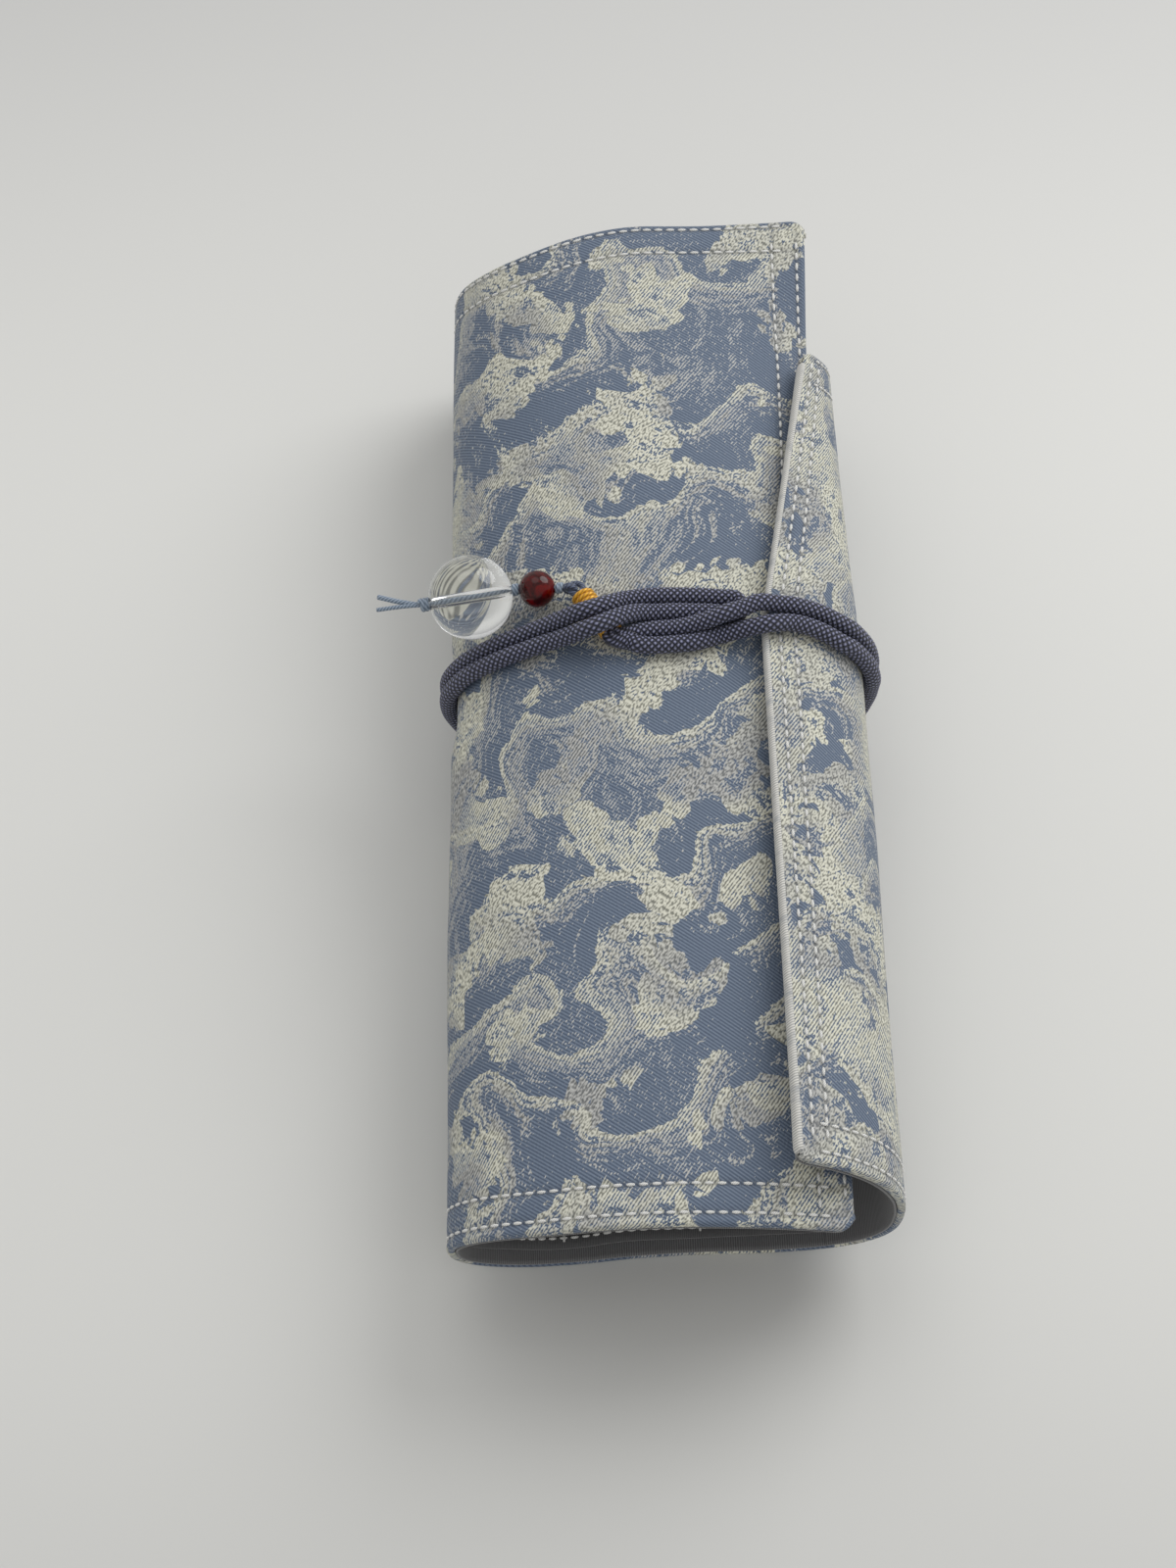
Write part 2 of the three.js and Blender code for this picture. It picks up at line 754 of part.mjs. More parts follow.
const stiffenerDepth = brocadeThickness + layerGap;

add('brocade_body', bodyLayer(0, brocadeThickness), 0x8d96a2, 0.7);
add('brocade_flap', flapLayer(0, brocadeThickness), 0x8d96a2, 0.7);
add('stiffener_body', bodyLayer(stiffenerDepth, stiffenerThickness, stiffenerInset), 0xe6e4de, 0.9);
add('stiffener_flap', flapLayer(stiffenerDepth, stiffenerThickness, stiffenerInset), 0xe6e4de, 0.9);
add('lining_body', bodyLayer(liningDepth, liningThickness), 0xa9a7ab, 0.85);
add('lining_flap', flapLayer(liningDepth, liningThickness), 0xa9a7ab, 0.85);
add('flap_edge_roll', flapEdgeRoll(), 0xb9b6bb, 0.8);
add('pocket_panel', pocketPanel(), 0x9c9a9c, 0.85);
add('cord_loop', cordLoop(), 0x3d4055, 0.6);
add('cord_tail', cordTail(), 0x3d4055, 0.6);
add('gold_whipping', whipping(), 0xb8861e, 0.45);
add('bead_thread', beadThread(), 0x7f9bb8, 0.6);
add('red_bead', bead(redBeadDiameter, redBead, redAxis, 12, 20), 0x5a1210, 0.15);
add('crystal_bead', bead(crystalDiameter, crystalBead, crystalAxis, 14, 24), 0xe8ecee, 0.05);

// The origin is under the middle of the roll and its cord, with the pendant left out
const pendant = ['bead_thread', 'red_bead', 'crystal_bead'];
const bounds = new THREE.Box3();
for (const mesh of pouch.children) {
  if (!pendant.includes(mesh.name)) bounds.expandByObject(mesh);
}
const middle = bounds.getCenter(new THREE.Vector3());
for (const mesh of pouch.children) mesh.geometry.translate(-middle.x, -middle.y, 0);

export default pouch;
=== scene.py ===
# Looks of a rolled brocade pen pouch, tied with a doubled braided cord that ends in a bead
# pendant. Sizes are in millimetres, and become metres where a mesh is made.

import math

import bmesh
import bpy
import numpy as np
from mathutils import Matrix, Vector, noise


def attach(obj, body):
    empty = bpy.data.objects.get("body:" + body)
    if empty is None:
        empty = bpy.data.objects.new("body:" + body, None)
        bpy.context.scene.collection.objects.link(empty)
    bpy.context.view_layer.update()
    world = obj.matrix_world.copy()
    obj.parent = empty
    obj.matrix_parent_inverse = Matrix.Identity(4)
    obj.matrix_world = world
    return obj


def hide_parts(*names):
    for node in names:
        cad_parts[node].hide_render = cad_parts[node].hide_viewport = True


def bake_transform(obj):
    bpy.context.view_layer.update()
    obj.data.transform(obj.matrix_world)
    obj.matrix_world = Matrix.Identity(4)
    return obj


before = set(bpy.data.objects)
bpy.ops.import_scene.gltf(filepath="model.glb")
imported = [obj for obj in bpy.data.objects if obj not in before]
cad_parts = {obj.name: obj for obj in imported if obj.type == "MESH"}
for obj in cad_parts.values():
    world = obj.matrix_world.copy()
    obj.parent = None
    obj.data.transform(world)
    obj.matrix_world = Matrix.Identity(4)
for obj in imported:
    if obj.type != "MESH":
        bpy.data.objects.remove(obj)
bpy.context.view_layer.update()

MM = 0.001
MM_PER_CM = 10
# Place of the frame's origin, measured from the line on which the sections are drawn
MIDDLE = np.array([0.5954, 1.3026, 0.0])

# Camera

CAMERA_TILT, CAMERA_TURN = 58.27, 1.09
CAMERA_PLACE = np.array([-18.51, -261.42, 426.95])
LENS, SENSOR = 56.25, 36


def aim_camera():
    tilt, turn = math.radians(CAMERA_TILT), math.radians(CAMERA_TURN)
    forward = Vector((
        math.sin(turn) * math.cos(tilt),
        math.cos(turn) * math.cos(tilt),
        -math.sin(tilt),
    ))
    right = Vector((math.cos(turn), -math.sin(turn), 0))
    up = right.cross(forward)
    data = bpy.data.cameras.new("photo_view")
    data.lens = LENS
    data.sensor_width = SENSOR
    data.clip_start = 0.01
    view = bpy.data.objects.new("photo_view", data)
    turned = Matrix((right, up, -forward)).transposed().to_4x4()
    place = Vector((CAMERA_PLACE - MIDDLE) * MM)
    view.matrix_world = Matrix.Translation(place) @ turned
    bpy.context.scene.collection.objects.link(view)
    bpy.context.scene.camera = view


aim_camera()

# Section of the roll, as its maker winds it

HALF_WIDTH = 40.3
ROLL_HEIGHT = 48
END_RISE = 8
LIMB_SHARE = 0.52
LOWER_SQUARENESS = 2.4
UPPER_SQUARENESS = 2.05
FAR_NARROWING, NARROWING_RUN = 2.3, 90
BOTTOM_PRESS = 0.8

CLOTH_LENGTH = 213
HALF_LENGTH = CLOTH_LENGTH / 2
NEAR_PLACE = -101
CORNER_RADIUS = 3.0
HEM_WAVE, WAVE_END = 1.6, 0.45
WIND_DRIFT, DRIFT_START, DRIFT_RUN = 8, 0.32, 0.42
FAR_HOLLOW, HOLLOW_START, HOLLOW_RUN = 2.6, 0.52, 0.32
PANEL_REACH_SHARE, PANEL_SPREAD, PANEL_FALL = 0.78, 1.7, 2.2
NEAR_TUCK_DIP, TUCK_DIP, FAR_TUCK_DIP = 4.2, 6.1, -1.2

FLAP_REACH_SHARE = 0.489
FLAP_VEER, FLAP_VEER_START, MOST_VEER = 10.6, 8, 1.4
FLAP_TAPER, FLAP_TAPER_RUN = 41, 53
FLAP_SQUARENESS, SQUARENESS_CHANGE = 3, 0.01
FLAP_STANDOFF, STANDOFF_RUN = 2, 76

CORD_DIAMETER = 3.1
CORD_RADIUS = CORD_DIAMETER / 2
CORD_GAP = 0.3
CORD_PLACE = 5.6
CORD_SKEW = 0.9
CORD_BITE = 1.2
FLOOR_GAP = 0.2
GROOVE_RAMP = 10
STRAND_OFFSET = (CORD_DIAMETER + CORD_GAP) / 2
BAND_HALF = STRAND_OFFSET + CORD_RADIUS + CORD_GAP + CORD_SKEW


def smooth(value):
    t = np.clip(value, 0, 1)
    return t * t * (3 - 2 * t)


def signed_power(value, exponent):
    return np.sign(value) * np.abs(value) ** exponent


def top_height(y):
    return ROLL_HEIGHT + END_RISE * y / HALF_LENGTH


def limb_height(y):
    return LIMB_SHARE * top_height(y)


def cord_band(y):
    """1 where the strands of the cord lie, falling to 0 beside them."""
    return 1 - smooth((abs(y - CORD_PLACE) - BAND_HALF) / GROOVE_RAMP)


def rest_height(y):
    return (CORD_DIAMETER + CORD_GAP + FLOOR_GAP) * cord_band(y)


def right_width(y):
    return HALF_WIDTH - FAR_NARROWING * smooth(y / NARROWING_RUN)


def left_width(y):
    return HALF_WIDTH - CORD_BITE * cord_band(y)


def panel_reach(y):
    return PANEL_REACH_SHARE * HALF_WIDTH + PANEL_SPREAD * y / HALF_LENGTH


def panel_dip(y):
    """How far the top panel dips on the right, to pass under the flap."""
    flap_end = HALF_LENGTH - FLAP_TAPER
    tucked = NEAR_TUCK_DIP + (TUCK_DIP - NEAR_TUCK_DIP) * smooth(1 + y / HALF_LENGTH)
    return tucked + (FAR_TUCK_DIP - tucked) * smooth((y - flap_end) / FLAP_TAPER)


def panel_height(x, y):
    fall = (np.maximum(0, x) / panel_reach(y)) ** PANEL_FALL
    return top_height(y) - panel_dip(y) * fall


def flap_edge(y):
    """The flap's free edge: straight beside the axis, then veering away at the far side."""
    run = HALF_LENGTH - FLAP_TAPER - FLAP_VEER_START
    veer = min(MOST_VEER, max(0, (y - FLAP_VEER_START) / run))
    return FLAP_REACH_SHARE * HALF_WIDTH + FLAP_VEER * veer


def flap_crown(y):
    power = FLAP_SQUARENESS + SQUARENESS_CHANGE * y
    width = right_width(y)
    rise = top_height(y) + FLAP_STANDOFF * math.exp(-y / STANDOFF_RUN) - limb_height(y)
    return power, width, rise / (1 - (flap_edge(y) / width) ** power) ** (1 / power)


ARC_POINTS = 121


def flap_outline(y):
    power, width, crown = flap_crown(y)
    start = math.acos((flap_edge(y) / width) ** (power / 2))
    angle = start * (1 - np.linspace(0, 1, ARC_POINTS))
    x = width * np.cos(angle) ** (2 / power)
    return x, limb_height(y) + crown * np.sin(angle) ** (2 / power)


def body_outline(y):
    """From the right side under the roll, up its left side and across its top."""
    limb, lower, upper = limb_height(y), 2 / LOWER_SQUARENESS, 2 / UPPER_SQUARENESS
    angle = np.linspace(0, math.pi, 2 * ARC_POINTS - 1)
    width = np.where(angle < math.pi / 2, right_width(y), left_width(y))
    under_x = width * signed_power(np.cos(angle), lower)
    under_z = limb - (limb + BOTTOM_PRESS) * np.maximum(0, np.sin(angle)) ** lower
    angle = np.linspace(0, math.pi / 2, ARC_POINTS)[1:]
    left_x = -left_width(y) * np.maximum(0, np.cos(angle)) ** upper
    left_z = limb + (top_height(y) - limb) * np.sin(angle) ** upper
    top_x = panel_reach(y) * np.linspace(0, 1, ARC_POINTS)[1:]
    x = np.concatenate([under_x, left_x, top_x])
    z = np.concatenate([
        np.maximum(rest_height(y), under_z), left_z, panel_height(top_x, y)
    ])
    return x, z


class Outline:
    """Sections at every millimetre along the roll, read by share of their length."""

    stations = np.arange(-125.0, 126.0)
    shares = np.linspace(0, 1, 401)
    slope_reach = 1.5

    def __init__(self, outline):
        rows = []
        for y in self.stations:
            x, z = outline(y)
            run = np.concatenate([[0], np.cumsum(np.hypot(np.diff(x), np.diff(z)))])
            total = run[-1]
            s = self.shares * total
            before = np.maximum(s - self.slope_reach, 0)
            after = np.minimum(s + self.slope_reach, total)
            dx = np.interp(after, run, x) - np.interp(before, run, x)
            dz = np.interp(after, run, z) - np.interp(before, run, z)
            length = np.hypot(dx, dz)
            places = [np.interp(s, run, x), np.interp(s, run, z)]
            rows.append([*places, -dz / length, dx / length])
        self.table = np.array(rows)
        x, z = outline(0)
        self.length = float(np.sum(np.hypot(np.diff(x), np.diff(z))))

    def at(self, share, y):
        """The place (x, z) and the outward direction at a share of the section's length."""
        share, y = np.broadcast_arrays(np.asarray(share, float), np.asarray(y, float))
        i = np.clip(y - self.stations[0], 0, len(self.stations) - 1.001)
        j = np.clip(share, 0, 1) * (len(self.shares) - 1.001)
        i0, j0 = i.astype(int), j.astype(int)
        fi, fj = (i - i0)[..., None], (j - j0)[..., None]
        table = np.moveaxis(self.table, 1, 2)
        low = table[i0, j0] * (1 - fj) + table[i0, j0 + 1] * fj
        high = table[i0 + 1, j0] * (1 - fj) + table[i0 + 1, j0 + 1] * fj
        return low * (1 - fi) + high * fi


BODY = Outline(body_outline)
FLAP = Outline(flap_outline)


def corner_inset(distance, radius):
    d = np.clip(distance, 0, radius)
    return radius - np.sqrt(np.maximum(0, radius**2 - (radius - d) ** 2))


def wind_shift(share):
    """How far the cloth slides along the roll as it is wound: a wave, then a drift."""
    wave = HEM_WAVE * np.sin(math.pi * np.clip(share / WAVE_END, 0, 1)) ** 2
    return wave - WIND_DRIFT * smooth((share - DRIFT_START) / DRIFT_RUN)


def near_edge(s):
    """Near edge of the cloth, s along the wrap: below 0 on the flap, above 0 on the body."""
    s = np.asarray(s, float)
    share = np.maximum(s, 0) / BODY.length
    body = NEAR_PLACE + wind_shift(share) + corner_inset(BODY.length - s, CORNER_RADIUS)
    flap = NEAR_PLACE + corner_inset(s + FLAP.length, CORNER_RADIUS) / 2
    return np.where(s < 0, flap, body)


def far_edge(s):
    """Far edge of the cloth, which is hollow on the top and tapers off on the flap."""
    s = np.asarray(s, float)
    share = np.maximum(s, 0) / BODY.length
    dip = np.sin(math.pi * np.clip((share - HOLLOW_START) / HOLLOW_RUN, 0, 1)) ** 2
    hollow = FAR_HOLLOW * dip
    body = NEAR_PLACE + wind_shift(share) + CLOTH_LENGTH - hollow
    body = body - corner_inset(BODY.length - s, CORNER_RADIUS)
    flap = NEAR_PLACE + CLOTH_LENGTH - corner_inset(s + FLAP.length, CORNER_RADIUS)
    taper = FLAP_TAPER * np.exp(-(((s + FLAP.length) / FLAP_TAPER_RUN) ** 2))
    return np.where(s < 0, flap, body) - taper


REST_START, REST_END, REST_FADE = 6, 104, 14
# Waves of the hand-wound cloth: length round the roll and along it, depth in the noise, height
WAVES = ((26, 34, 3.7, 0.34), (9, 13, 8.1, 0.1))


def pressed(s):
    """1 where the table presses the cloth flat, and 0 elsewhere."""
    return float(smooth((s - REST_START) / REST_FADE) * smooth((REST_END - s) / REST_FADE))


def ripple(s, y):
    """Small rise and fall of the hand-wound cloth, shared by all its layers. It dies out
    where the roll rests on the table."""
    value = sum(
        noise.noise(Vector((s / round_run, y / along_run, layer))) * height
        for round_run, along_run, layer, height in WAVES
    )
    return value * (1 - pressed(s))


def wound(s, y, depth):
    """Points of the wound cloth in the part's frame, at a depth under its outer face."""
    s, y, depth = np.broadcast_arrays(
        np.asarray(s, float), np.asarray(y, float), np.asarray(depth, float)
    )
    body = BODY.at(s / BODY.length, y)
    flap = FLAP.at(1 + s / FLAP.length, y)
    spot = np.where((s < 0)[..., None], flap, body)
    x = spot[..., 0] - spot[..., 2] * depth
    z = spot[..., 1] - spot[..., 3] * depth
    return np.stack([x, y, z], -1) - MIDDLE


# Mesh helpers

# Corners that lie closer together than this, in metres, are merged
MERGE, STRIP_MERGE = 1e-7, 1e-6


def new_piece(name, bm, material):
    for face in bm.faces:
        face.smooth = True
    mesh = bpy.data.meshes.new(name)
    bm.to_mesh(mesh)
    bm.free()
    mesh.materials.append(material)
    piece = bpy.data.objects.new(name, mesh)
    bpy.context.scene.collection.objects.link(piece)
    return piece


def mapped_grid(columns, rows, places, uv, seams=None):
    """A grid laid out by an array of places in millimetres, with its own UV in centimetres
    and, on hemmed cloth, a second one that gives the distance to the nearest stitch rows."""
    bm = bmesh.new()
    bmesh.ops.create_grid(bm, x_segments=columns - 1, y_segments=rows - 1, size=1)
    cell = {}
    for vertex in bm.verts:
        i = round((vertex.co.x + 1) / 2 * (columns - 1))
        j = round((vertex.co.y + 1) / 2 * (rows - 1))
        cell[vertex] = (i, j)
    for name, coordinates in (("cloth", uv), ("seams", seams)):
        if coordinates is None:
            continue
        layer = bm.loops.layers.uv.new(name)
        for face in bm.faces:
            for loop in face.loops:
                loop[layer].uv = coordinates[cell[loop.vert]] / MM_PER_CM
    for vertex, (i, j) in cell.items():
        vertex.co = Vector(places[i, j]) * MM
    return bm


def thicken(piece, thickness):
    wall = piece.modifiers.new("thickness", "SOLIDIFY")
    wall.thickness = thickness * MM
    wall.offset = -1
    wall.use_even_offset = False


# Cloth sheets

PITCH = 2.3
# Distance of the rows of stitches from each edge
HEM_ROWS = {"near": (2.2, 7.3), "far": (1.3, 7.2), "top": (1.7, 6.5), "flap": (3.1, 6.1)}
# The outer cloth turns round its edge: distance from the edge, and depth of each row of the mesh
RIM = [(0.7, 1.6), (0.25, 1.5), (0.02, 1.15), (0.0, 0.7), (0.16, 0.28), (0.5, 0.06)]
HEM_INSETS = [0.9, 1.3, 1.7, 2.2, 2.7, 3.3, 4.2, 5.2, 6.1, 6.8, 7.25, 7.7, 8.3, 9.3, 10.6]
HEM_WIDTH = HEM_INSETS[-1]
BETWEEN_HEMS = 185

# A row of stitches draws the cloth in, and a little more at each stitch
GROOVE_WIDTH, GROOVE_DEPTH, GROOVE_PULSE = 0.7, 0.2, 0.16
SIDE_GROOVE_WIDTH, SIDE_GROOVE_DEPTH = 0.5, 0.26
FADE_START, FADE_RUN = 0.6, 2
FAR_FROM_ROWS = 9.0


def seam_dent(distance, rows):
    return sum(
        SIDE_GROOVE_DEPTH * np.exp(-(((distance - row) / SIDE_GROOVE_WIDTH) ** 2))
        for row in rows
    )


def row_plan(rim, spacing):
    """Rows from the near edge to the far edge: side, distance from it, and extra depth."""
    plan = [("near", inset, depth) for inset, depth in rim]
    plan += [("near", inset, 0.0) for inset in HEM_INSETS]
    count = int(BETWEEN_HEMS / spacing)
    plan += [("between", k / count, 0.0) for k in range(1, count)]
    plan += [("far", inset, 0.0) for inset in reversed(HEM_INSETS)]
    return plan + [("far", inset, depth) for inset, depth in reversed(rim)]


def hem_grooves(s, y, near, far, top_rows, flap_rows):
    """How far the rows of stitches draw one column of the cloth in, and how far it lies from
    the nearest row along the wrap and from the nearest one along the roll."""
    to_top, to_flap = BODY.length - s, s + FLAP.length
    whole = float(smooth((min(to_top, to_flap) - FADE_START) / FADE_RUN))
    inner = smooth((np.minimum(y - near, far - y) - FADE_START) / FADE_RUN)
    rows = [y - near - row for row in HEM_ROWS["near"]]
    rows += [far - y - row for row in HEM_ROWS["far"]]
    beside = np.min(np.abs(rows), axis=0)
    pulse = 0.5 + 0.5 * math.cos(2 * math.pi * s / PITCH)
    groove = np.exp(-((beside / GROOVE_WIDTH) ** 2))
    dent = whole * groove * (GROOVE_DEPTH + GROOVE_PULSE * pulse)
    dent += inner * (seam_dent(to_top, top_rows) + seam_dent(to_flap, flap_rows))
    sides = [abs(to_top - row) for row in top_rows] + [abs(to_flap - row) for row in flap_rows]
    aside = min([*sides, FAR_FROM_ROWS])
    seams = [beside + FAR_FROM_ROWS * (1 - whole), aside + FAR_FROM_ROWS * (1 - inner)]
    return dent, np.stack(seams, -1)


def sheet_places(columns, plan, depth, top_rows, flap_rows, hems):
    """Places and cloth coordinates of a sheet, and its distances from stitch rows. Each
    column is a place along the wrap and the extra depth it has where the cloth turns round
    its edge."""
    places, flat, seams = [], [], []
    for s, column_depth in columns:
        near, far = float(near_edge(s)), float(far_edge(s))
        y, extra, turned = [], [], []
        for side, value, row_depth in plan:
            if side == "near":
                y.append(near + value)
            elif side == "far":
                y.append(far - value)
            else:
                y.append(near + HEM_WIDTH + (far - near - 2 * HEM_WIDTH) * value)
            extra.append(max(row_depth, column_depth))
            turned.append(row_depth if side == "far" else -row_depth)
        y, extra = np.array(y), np.array(extra)
        dent = 0.0
        if hems:
            dent, from_rows = hem_grooves(s, y, near, far, top_rows, flap_rows)
            seams.append(from_rows)
        waves = np.array([ripple(s, v) for v in y])
        places.append(wound(s, y, depth + extra + dent - waves))
        flat.append(np.stack([np.full(len(y), s + column_depth), y + turned], -1))
    return np.array(places), np.array(flat), np.array(seams) if hems else None


def spread(start, end, spacing):
    count = max(2, round(abs(end - start) / spacing))
    return [start + (end - start) * k / count for k in range(count + 1)]


# Places along the wrap: where the mesh of the flap meets the roll's, under the fold, and the
# two free edges of the cloth
SEAM = 10 * PITCH
FREE_EDGE = -FLAP.length
TOP_EDGE = BODY.length


def layer_sheet(
    name, start, end, material, depth, thickness, spacing, row_spacing, rim, top_rim=()
):
    """One layer of the cloth, from one place along the wrap to another. Only the outer cloth
    has a rim of more than one row, and it alone is hemmed."""
    columns = [(s, 0.0) for s in spread(start, end, spacing)]
    columns += [(TOP_EDGE - inset, extra) for inset, extra in reversed(top_rim)]
    plan = row_plan(rim, row_spacing)
    hems = len(rim) > 1
    places, flat, seams = sheet_places(
        columns, plan, depth,
        HEM_ROWS["top"] if hems and end > SEAM else (),
        HEM_ROWS["flap"] if hems and start < 0 else (),
        hems,
    )
    bm = mapped_grid(len(columns), len(plan), places, flat, seams)
    piece = new_piece(name, bm, material)
    thicken(piece, thickness)
    return piece


# Materials

# The braid stands a little proud of the cord's smooth radius. Its strands arch across their
# width and fall along their length, in the mesh and in the finish alike.
BRAID_RADIUS = CORD_RADIUS + 0.3 * CORD_GAP
BRAID_PITCH = 1.2
BRAID_STRANDS = 8
BRAID_RISE = 0.08
STRAND_ARCH, STRAND_FALL = 3.0, 2.5


class Finish:
    """A node material with a principled surface, for one of the pouch's own finishes."""

    def __init__(self, name, **surface):
        self.material = bpy.data.materials.new(name)
        self.material.use_nodes = True
        self.tree = self.material.node_tree
        self.surface = self.tree.nodes["Principled BSDF"]
        for key, value in surface.items():
            self.surface.inputs[key.replace("_", " ")].default_value = value

    def feed(self, socket, value):
        """Gives a socket what another node puts out, or a fixed value."""
        if isinstance(value, bpy.types.NodeSocket):
            self.tree.links.new(value, socket)
        else:
            socket.default_value = value

    def node(self, kind, setting=None, **inputs):
        """A node with its inputs fed by name, or by number as i0, i1 and so on."""
        made = self.tree.nodes.new(kind)
        for key, value in (setting or {}).items():
            setattr(made, key, value)
        for key, value in inputs.items():
            numbered = key[0] == "i" and key[1:].isdigit()
            self.feed(made.inputs[int(key[1:]) if numbered else key.replace("_", " ")], value)
        return made

    def maths(self, operation, a, b=0.0, c=0.0, clamp=False):
        setting = {"operation": operation, "use_clamp": clamp}
        return self.node("ShaderNodeMath", setting, i0=a, i1=b, i2=c).outputs[0]

    def times(self, value, factor, plus=None, clamp=False):
        if plus is None:
            return self.maths("MULTIPLY", value, factor, clamp=clamp)
        return self.maths("MULTIPLY_ADD", value, factor, plus, clamp)

    def minus(self, value, other):
        return self.maths("SUBTRACT", value, other)

    def larger(self, first, second):
        """The larger of two values, or the second where there is no first one yet."""
        return second if first is None else self.maths("MAXIMUM", first, second)

    def parts(self, vector):
        return self.node("ShaderNodeSeparateXYZ", None, Vector=vector).outputs

    def cloth_uv(self):
        """Place on the cloth in centimetres."""
        return self.node("ShaderNodeUVMap", {"uv_map": "cloth"}).outputs[0]

    def body_place(self, scale=1000.0):
        """Place in the part's frame, in millimetres."""
        place = self.node("ShaderNodeTexCoord").outputs["Object"]
        return self.node(
            "ShaderNodeVectorMath", {"operation": "SCALE"}, i0=place, Scale=scale
        ).outputs[0]

    def shifted(
        self, vector, location=(0, 0, 0), rotation=(0, 0, 0), scale=(1, 1, 1), kind="POINT"
    ):
        return self.node(
            "ShaderNodeMapping", {"vector_type": kind},
            Vector=vector, Location=location, Rotation=rotation, Scale=scale,
        ).outputs[0]

    def turned(self, vector, angle):
        return self.shifted(vector, rotation=(0, 0, angle))

    def clouds(self, vector, scale, detail=3.0, rough=0.5, distortion=0.0):
        return self.node(
            "ShaderNodeTexNoise", None,
            Vector=vector, Scale=scale, Detail=detail, Roughness=rough, Distortion=distortion,
        ).outputs["Fac"]

    def stripes(self, vector, scale, distortion=0.0, detail=2.0, detail_scale=1.0):
        return self.node(
            "ShaderNodeTexWave", {"bands_direction": "X", "wave_profile": "SIN"},
            Vector=vector, Scale=scale, Distortion=distortion, Detail=detail,
            Detail_Scale=detail_scale,
        ).outputs["Fac"]

    def step(self, value, low, high):
        """0 up to the low value, 1 from the high value on, and a smooth rise between."""
        return self.node(
            "ShaderNodeMapRange", {"interpolation_type": "SMOOTHSTEP"},
            Value=value, From_Min=low, From_Max=high, To_Min=0.0, To_Max=1.0,
        ).outputs[0]

    def blend(self, share, first, second):
        setting = {"data_type": "RGBA", "blend_type": "MIX"}
        return self.node("ShaderNodeMix", setting, i0=share, i6=first, i7=second).outputs[2]

    def colour(self, value):
        self.feed(self.surface.inputs["Base Color"], value)

    def roughness(self, value, low, high):
        made = self.node("ShaderNodeMapRange", None, Value=value, To_Min=low, To_Max=high)
        self.feed(self.surface.inputs["Roughness"], made.outputs[0])

    def relief(self, height, depth_mm, strength=1.0):
        depth = depth_mm * MM
        bump = self.node("ShaderNodeBump", None, Height=height, Strength=strength, Distance=depth)
        self.feed(self.surface.inputs["Normal"], bump.outputs[0])


def tone(red, green, blue):
    """A colour as it looks on a screen, 0 to 255, made linear for a shader."""
    linear = []
    for value in (red, green, blue):
        v = value / 255
        linear.append(v / 12.92 if v <= 0.04045 else ((v + 0.055) / 1.055) ** 2.4)
    return (*linear, 1.0)


DEEP_SLATE, PALE_SLATE, SLATE_FLECK = tone(58, 72, 94), tone(106, 119, 137), tone(118, 130, 145)
# The darker silver and cream are partly the threads' own mottle and partly painted shade between
# the threads
SILVER_MOTTLE_AND_PAINTED_SHADE, SILVER = tone(98, 100, 101), tone(176, 176, 173)
CREAM_MOTTLE_AND_PAINTED_SHADE, CREAM = tone(122, 122, 112), tone(206, 205, 190)
# Painted shade for the creases of the stitch rows, and painted shadow for the needle holes
PAINTED_CREASE_SHADE, PAINTED_HOLE_SHADOW = tone(80, 86, 98), tone(34, 38, 47)
# Shift, scale of the cells and reach of the large clumps, and of the small ones
CLUMP_SIZES = (((0, 0, 0), 1.9, 3.8), ((3.7, 1.9, 0), 3.1, 3.0))


def drifted(finish, uv):
    """Place on the cloth, pushed about a little, so that no figure has an even outline."""
    drift = finish.node("ShaderNodeTexNoise", None, Vector=uv, Scale=0.8, Detail=1.0)
    return finish.node(
        "ShaderNodeVectorMath", {"operation": "MULTIPLY_ADD"},
        i0=drift.outputs["Color"], i1=(0.9, 0.9, 0.0), i2=uv,
    ).outputs[0]


def layered_banks(finish, place, fringe, mass):
    """Density of the banks, and the level in each, from 0 at its foot to 1 at its crest."""
    across, along = finish.parts(place)[:2]
    rise = finish.times(finish.clouds(place, 0.34, 1.0), 3.4)
    rise = finish.times(along, 0.42, rise)
    rise = finish.times(across, -0.16, rise)
    level = finish.maths("FRACT", finish.times(fringe, 0.2, rise))
    contour = finish.node("ShaderNodeCombineXYZ", None, X=across, Y=finish.times(rise, 5.5))
    strokes = finish.clouds(contour.outputs[0], 2.2, 2.0, 0.65)
    bank = finish.times(level, 1.25, finish.times(strokes, 3.4, -2.1))
    return finish.times(bank, finish.step(mass, 0.3, 0.42), clamp=True), level


def lobed_clumps(finish, place, uv, fringe):
    """How far a place lies inside a clump, above 0 inside it. Each clump is a cell whose
    reach comes from the clouds at its middle. There are more of them on the flap."""
    clumps = None
    for shift, scale, size in CLUMP_SIZES:
        cell = finish.node(
            "ShaderNodeTexVoronoi", {"feature": "F1"},
            Vector=finish.shifted(place, shift), Scale=scale,
        ).outputs
        middle = finish.shifted(cell["Position"], tuple(-v for v in shift))
        reach = finish.times(finish.clouds(middle, 0.72, 0.0), size, -0.53 * size)
        clumps = finish.larger(clumps, finish.times(cell["Distance"], -1.0 / scale, reach))
    on_flap = finish.step(finish.parts(uv)[0], 0.6, -1.4)
    clumps = finish.times(on_flap, 0.52, clumps)
    return finish.times(fringe, 0.3, finish.minus(clumps, 0.16))


